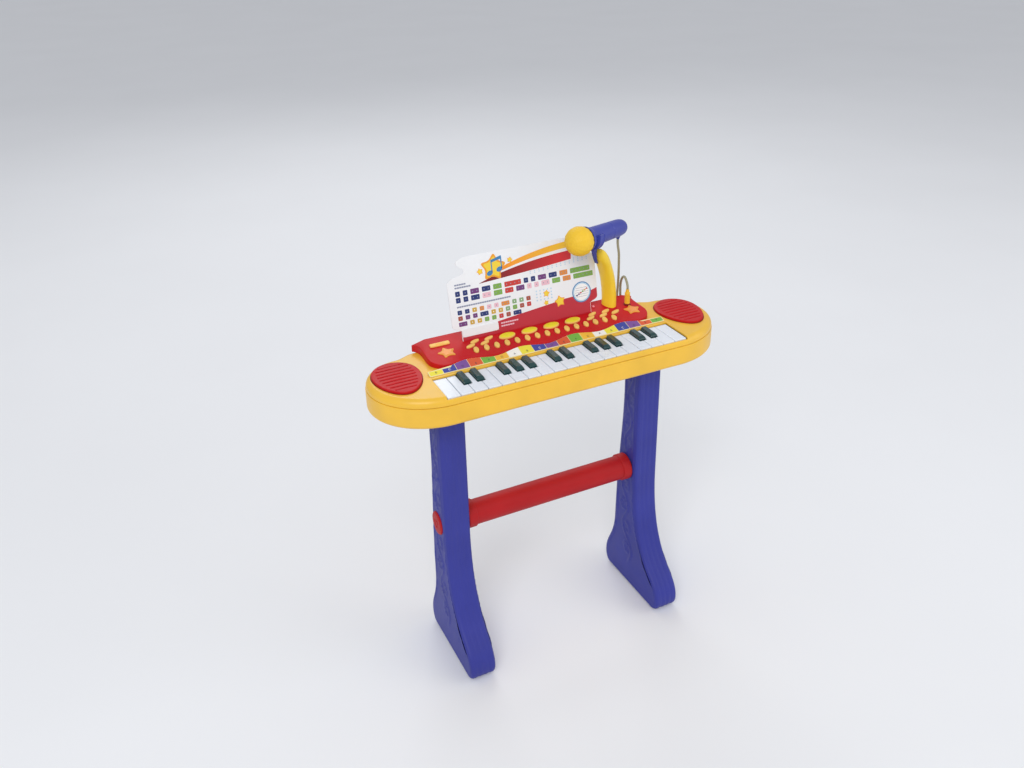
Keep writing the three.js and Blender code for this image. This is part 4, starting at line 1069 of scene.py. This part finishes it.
def leg_span(loop, z):
    """Where the leg's front and back edges are at height z."""
    hits = []
    for i, (ay, az) in enumerate(loop):
        by, bz = loop[i - 1]
        if (az > z) != (bz > z):
            hits.append(ay + (by - ay) * (z - az) / (bz - az))
    return min(hits), max(hits)


VINE_LENGTH = 74


def part_of(value):
    return min(1, max(0, value))


def ridge(distance, width):
    """The height of a rounded ridge of unit height at a distance from its crest."""
    return max(0.0, 1 - (distance / width) ** 2)


def legs():
    loop = leg_outline()
    shell, corner_radius, raised = LEG_WIDTH / 2 - 0.8, 5, 1.5
    levels = [-shell + shell * 2 * k / 60 for k in range(61)]

    def depth_at(t):
        """How far the edge lies in at t across the leg: rounded corners and three long flutes."""
        corner = max(0.0, abs(t) - (shell - corner_radius)) / corner_radius
        flutes = sum(ridge(t - middle, 2.6) for middle in (-8, 0, 8))
        return corner_radius * (1 - sqrt(max(0.0, 1 - corner ** 2))) + 0.3 * flutes

    rim = inset(loop, depth_at(shell))
    points, faces = fill(rim, spacing=2.7)
    lowest = FLOOR_Z + 2
    spans = [leg_span(loop, z) for z in range(lowest, int(LEG_TOP_Z) - 1)]

    def relief(y, z):
        """A moulded vine that winds up the side between two raised borders, with a curl in each bend."""
        front, back = spans[max(0, min(len(spans) - 1, int(z) - lowest))]
        middle, reach = (front + back) / 2, (back - front) / 2
        from_bar = hypot(y - BAR_DEPTH, z - BAR_Z) - BAR_RADIUS
        fade = part_of((z - 26) / 12) * part_of((reach - abs(y - middle) - 5) / 2)
        fade *= part_of((384 - z) / 8) * part_of((from_bar - 3) / 3)
        vine = ridge(y - middle - 0.36 * min(reach, 24) * sin(2 * pi * z / VINE_LENGTH), 2.6)
        border = 0.8 * ridge(abs(y - middle) - (reach - 7.2), 1.6)
        curl = 0
        for k in range(1, 11):
            side = 1 if k % 2 else -1
            to_y, to_z = y - middle - side * 4.2, z - VINE_LENGTH * (k / 2 + 0.25)
            curl = max(curl, ridge(hypot(to_y, to_z * 0.75) - 6.2, 1.9) * (0 if to_y * side < -5 else 1),
                       0.8 * ridge(hypot(to_y - side * 1.5, to_z * 0.8), 3))
        return fade * max(vine, border, curl)

    heights = [relief(y, z) for y, z in points]
    for name, middle in (("left", -LEG_MIDDLE_X), ("right", LEG_MIDDLE_X)):
        leg = Solid()
        rings = [[(middle + t, y, z) for y, z in inset(loop, depth_at(t))] for t in levels]
        leg.loft(rings, caps=(False, False))
        for side in (-1, 1):
            leg.add([(middle + side * (shell + h * raised), y, z) for (y, z), h in zip(points, heights)],
                    [face[::side] for face in faces])
        leg.make(name + "_leg_moulding", BLUE, stands_for=[name + "_leg"], slot="leg_blue", crease=50)
        pads = Solid()
        for y0, y1 in ((FOOT_FRONT + 15, FOOT_FRONT + 45), (FOOT_BACK - 45, FOOT_BACK - 16)):
            pads.slab(rounded(middle - 12, middle + 12, y0, y1, 5), FLOOR_Z, FLOOR_Z + 1.4, 0.3, 0, 2)
        pads.make(name + "_foot_pads", DARK)


def crossbar():
    inner, outer = LEG_MIDDLE_X - LEG_WIDTH / 2 - GAP, LEG_MIDDLE_X + LEG_WIDTH / 2 + 2
    r = BAR_RADIUS
    sleeve = outer - inner
    half = [(3, 0), (4, 0.9), (6, 0.9), (7, 0), (r - 4, 0), (r - 2.2, 0.5), (r - 1, 1.8), (r - 1, sleeve),
            (r + 1.4, sleeve), (r + 2, sleeve + 0.7), (r + 2, sleeve + 12), (r + 1.5, sleeve + 12.8),
            (r + 0.5, sleeve + 13), (r + 0.1, sleeve + 13.4)]
    profile = [(radius, distance - outer) for radius, distance in half]
    profile += [(radius, -distance) for radius, distance in profile[::-1]]
    bar = Solid().turned(profile, (0, BAR_DEPTH, BAR_Z), (1, 0, 0), 56)
    bar.make("crossbar_tube", BAR_RED, stands_for=["crossbar"], slot="bar_red")


# ---------------------------------------------------------------- microphone, arm and plug
def mic_point(up, side, along):
    return MIC_BALL + MIC_UP * up + MIC_SIDE * side + MIC_AXIS * along


def arm_point(reach, across, z):
    return ARM_FOOT + ARM_REACH * reach + ARM_ACROSS * across + Vector((0, 0, z))


def arm():
    near = Outline(7.5, 434).line(7, 455).curve(8.5, 480, 16, 501, 26, 516, 14)
    near.curve(29.5, 522, 31, 530, 28.5, 536.9, 10)
    far = Outline(-7.5, 434).line(-7, 455).curve(-6.5, 478, 0, 496, 8, 513, 14)
    far.curve(14, 526, 22, 535, 28.3, 537, 10)
    rings, count = [], len(near.points)
    for k, (a, b) in enumerate(zip(near.points, far.points)):
        middle, half = (Vector(a) + Vector(b)) / 2, (Vector(a) - Vector(b)) / 2
        to_tip = max(0, (k - count * 0.45) / (count * 0.55))
        width = 10.5 * sqrt(max(0.03, 1 - to_tip ** 3))
        ring = []
        for i in range(40):
            along, across = squarish(2 * pi * i / 40)
            ring.append(arm_point(middle.x + half.x * along, width * across, middle.y + half.y * along))
        rings.append(ring)
    Solid().loft(rings).make("mic_arm_moulding", ARM_YELLOW, "case", ["mic_arm"], "arm_yellow", 40)
    collar = Solid()
    base = [(1.16 * c * 7.6, 1.1 * s * 10.6) for c, s in (squarish(2 * pi * i / 40) for i in range(40))]
    low = panel_z(ARM_FOOT.y)
    collar.slab(base, low - 2.5, low + 0.8, 0, 0.7, 3)
    collar.moved(lambda p: arm_point(*p))
    collar.moved(lambda p: (p[0], p[1], p[2] + PANEL_SLOPE * (p[1] - ARM_FOOT.y)))
    collar.make("mic_arm_foot_ring", RED, slot="panel_red")


def holder():
    inner, outer = 13.9, 16.9
    shape = Outline(6, -outer).line(6, -inner).line(0, -inner)
    shape.arc(0, 0, inner, inner, -pi / 2, -1.5 * pi, 28).line(6, inner).line(6, outer).line(0, outer)
    shape.arc(0, 0, outer, outer, pi / 2, 1.5 * pi, 28)
    ring = Solid().slab(shape.loop()[::-1], MIC_CLIP_AT - 4.5, MIC_CLIP_AT + 4.5, 0.7, 0.7, 3)
    ring.moved(lambda p: mic_point(*p))
    fin = Outline(33, 542.6).line(42, 542.6).line(41, 540.4).curve(36, 537, 35.5, 524, 27.2, 514.3, 14)
    fin.curve(30.4, 521.5, 32.4, 530, 30.2, 538.6, 14)
    blade = Solid().slab(fin.loop()[::-1], 0.9, 6.3, 0.6, 0.6, 3)
    blade.moved(lambda p: arm_point(p[0], p[2], p[1]))
    ring.add(blade.verts, blade.faces)
    ring.make("mic_holder_cradle", MIC_BLUE, stands_for=["mic_holder"], slot="mic_blue")


CUP = 11


def microphone():
    rings, rows, steps = [], 60, 96
    for r in range(1, rows + 1):
        angle = (pi - acos(CUP / MIC_RADIUS)) * r / rows
        ring = []
        for i in range(steps):
            turn = 2 * pi * i / steps
            across = ridge((r % 5) - 2.5, 1.3) if r < rows - 3 else 0
            along = ridge((i % 6) - 3, 1.5) * min(1, sin(angle) * 1.5)
            radius = MIC_RADIUS - 0.5 + 0.5 * (1 - max(across * 0.9, along * 0.9) * 0.9)
            ring.append(mic_point(radius * sin(angle) * cos(turn), radius * sin(angle) * sin(turn),
                                  -radius * cos(angle)))
        rings.append(ring)
    Solid().loft(rings).make("mic_windscreen", BALL_YELLOW, "microphone", ["mic_head"], "ball_yellow", 60)

    profile = [(0.4, 88), (8, 86), (9.4, 34), (10.2, 24), (12, 16), (14.5, CUP + 0.4), (15.6, CUP + 0.1),
               (16.4, CUP + 0.4), (16.7, CUP + 1.1), (16.6, 13.6), (16.1, 15.2), (15.2, 17), (14.2, 19),
               (13.6, 20.8), (13.2, 24), (12.9, 32), (12.6, 42), (12.25, 58), (12.2, 59), (11.7, 59.4),
               (11.7, 60.2), (12.1, 60.6), (11.95, 70), (11.7, 81), (11.3, 85), (10.5, 88.6), (9.2, 91.2),
               (7.2, 93), (4.5, 93.8), (0.4, MIC_LENGTH)]
    handle = Solid().turned(profile, MIC_BALL, MIC_AXIS, 56)
    gland = [(3.4, 0), (3.6, -1), (3.4, -2.4), (2.9, -3.2), (3.0, -3.8), (2.4, -5), (2.1, -5.2), (2.0, -6.4)]
    handle.turned(gland, mic_point(-9.5, 0, MIC_CORD_AT), MIC_UP, 24)
    handle.make("mic_handle_grip", MIC_BLUE, "microphone", ["mic_handle"], "mic_blue")
    # A dark ring where the ball meets the cup: painted shadow for the gap between them.
    band = [(15, 8.9), (17.3, 9.1), (17.5, 9.5), (17.2, 10.5), (16.8, 10.9), (15, 10.9)]
    Solid().turned(band, MIC_BALL, MIC_AXIS, 64).make("mic_painted_shadow_band", DARK, "microphone")


def jack():
    top = panel_z(JACK_Y) + 1.4
    rim = panel_z(JACK_Y + 6) + 0.2
    socket = [(2.3, DECK_Z + 1.5), (4.2, DECK_Z + 1.5), (4.2, rim), (4.6, rim), (4.8, top - 0.6),
              (4.6, top - 0.1), (4.3, top), (3, top), (2.4, top - 0.3)]
    ring = Solid().turned(socket, (JACK_X, JACK_Y, 0), UP, 36)
    ring.make("mic_socket_ring", RING, stands_for=["mic_socket"], slot="socket_metal")
    plug = [(0.3, DECK_Z + 4), (1.1, DECK_Z + 4.6), (1.75, DECK_Z + 5.4), (1.75, top + GAP), (3.4, top + GAP),
            (3.8, top + 0.7)]
    ribs, low, high = 6, top + 1.6, 460.4
    pitch = (high - low) / ribs
    for k in range(ribs):
        z = low + (high - low) * k / ribs
        plug += [(radius, z + pitch * share)
                 for radius, share in ((3.8, 0.1), (3.8, 0.5), (3.45, 0.62), (3.45, 0.88))]
    plug += [(radius, high + rise) for radius, rise in (
        (3.8, 0), (3.6, 0.6), (2.8, 1.2), (2.5, 2), (2.5, 2.8), (2.2, 3), (2.2, 3.5), (2.4, 3.8), (2.3, 4.6))]
    plug.append((2.0, PLUG_TOP))
    body = Solid().turned(plug, (JACK_X, JACK_Y, 0), UP, 32)
    return body.make("mic_cord_plug", PLUG_YELLOW, stands_for=["mic_plug"], slot="plug_yellow")


def electronics():
    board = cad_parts["main_circuit_board"]
    board.data.materials.clear()
    board.data.materials.append(CIRCUIT)
    back = CASE_BACK - 0.4
    shell = Solid()
    for x0, x1, z0, z1 in ((-6.9, 6.9, 412.7, 413.4), (-6.9, 6.9, 419.2, 419.9),
                           (-6.9, -6.2, 412.7, 419.9), (6.2, 6.9, 412.7, 419.9)):
        shell.block(PORT_X + x0, PORT_X + x1, back - 8, back, z0, z1, 0.25)
    shell.make("data_port_shell", METAL, slot="socket_metal")
    tongue = Solid().block(PORT_X - 5, PORT_X + 5, back - 8, back - 1.5, 416.6, 418.4, 0.3)
    tongue.make("data_port_tongue", CARD)


for build in (lower_case, battery_cover_rails, case_screws, upper_case, battery_cover, white_keys,
              black_keys, control_panel, panel_lights, controls, power_switch, label_strip, note_letters,
              speakers, song_board, legs, crossbar, arm, holder, microphone):
    build()
plug = jack()
electronics()


# ---------------------------------------------------------------- stage and light
def stage():
    half = 30
    mesh = bpy.data.meshes.new("floor")
    corners = [(-half, -half, 0), (half, -half, 0), (half, half, 0), (-half, half, 0)]
    mesh.from_pydata(corners, [], [(0, 1, 2, 3)])
    floor = add_object("floor", mesh)
    mesh.materials.append(material("floor_pale", "EDEEF0", roughness=0.8, bump=0.02, grain=60, mottle=2,
                                   depth=0.01))

    world = bpy.data.worlds.new("studio")
    world.use_nodes = True
    put(world.node_tree.nodes["Background"], {"Color": (0.93, 0.95, 1.0, 1), "Strength": 0.6})
    bpy.context.scene.world = world

    for name, place, target, size, power in (
            ("key", (-1.6, -2.2, 2.6), (0, 0, 0.4), 1.8, 52),
            ("fill", (2.4, -1.6, 1.5), (0, 0, 0.35), 2.2, 18),
            ("rim", (0.6, 2.4, 2.4), (0, 0, 0.45), 1.6, 20)):
        data = bpy.data.lights.new(name, "AREA")
        data.size, data.energy = size, power
        light = add_object(name, data)
        light.location = place
        light.rotation_euler = (Vector(place) - Vector(target)).to_track_quat("Z", "Y").to_euler()
    bpy.context.scene.view_settings.view_transform = "Standard"


stage()
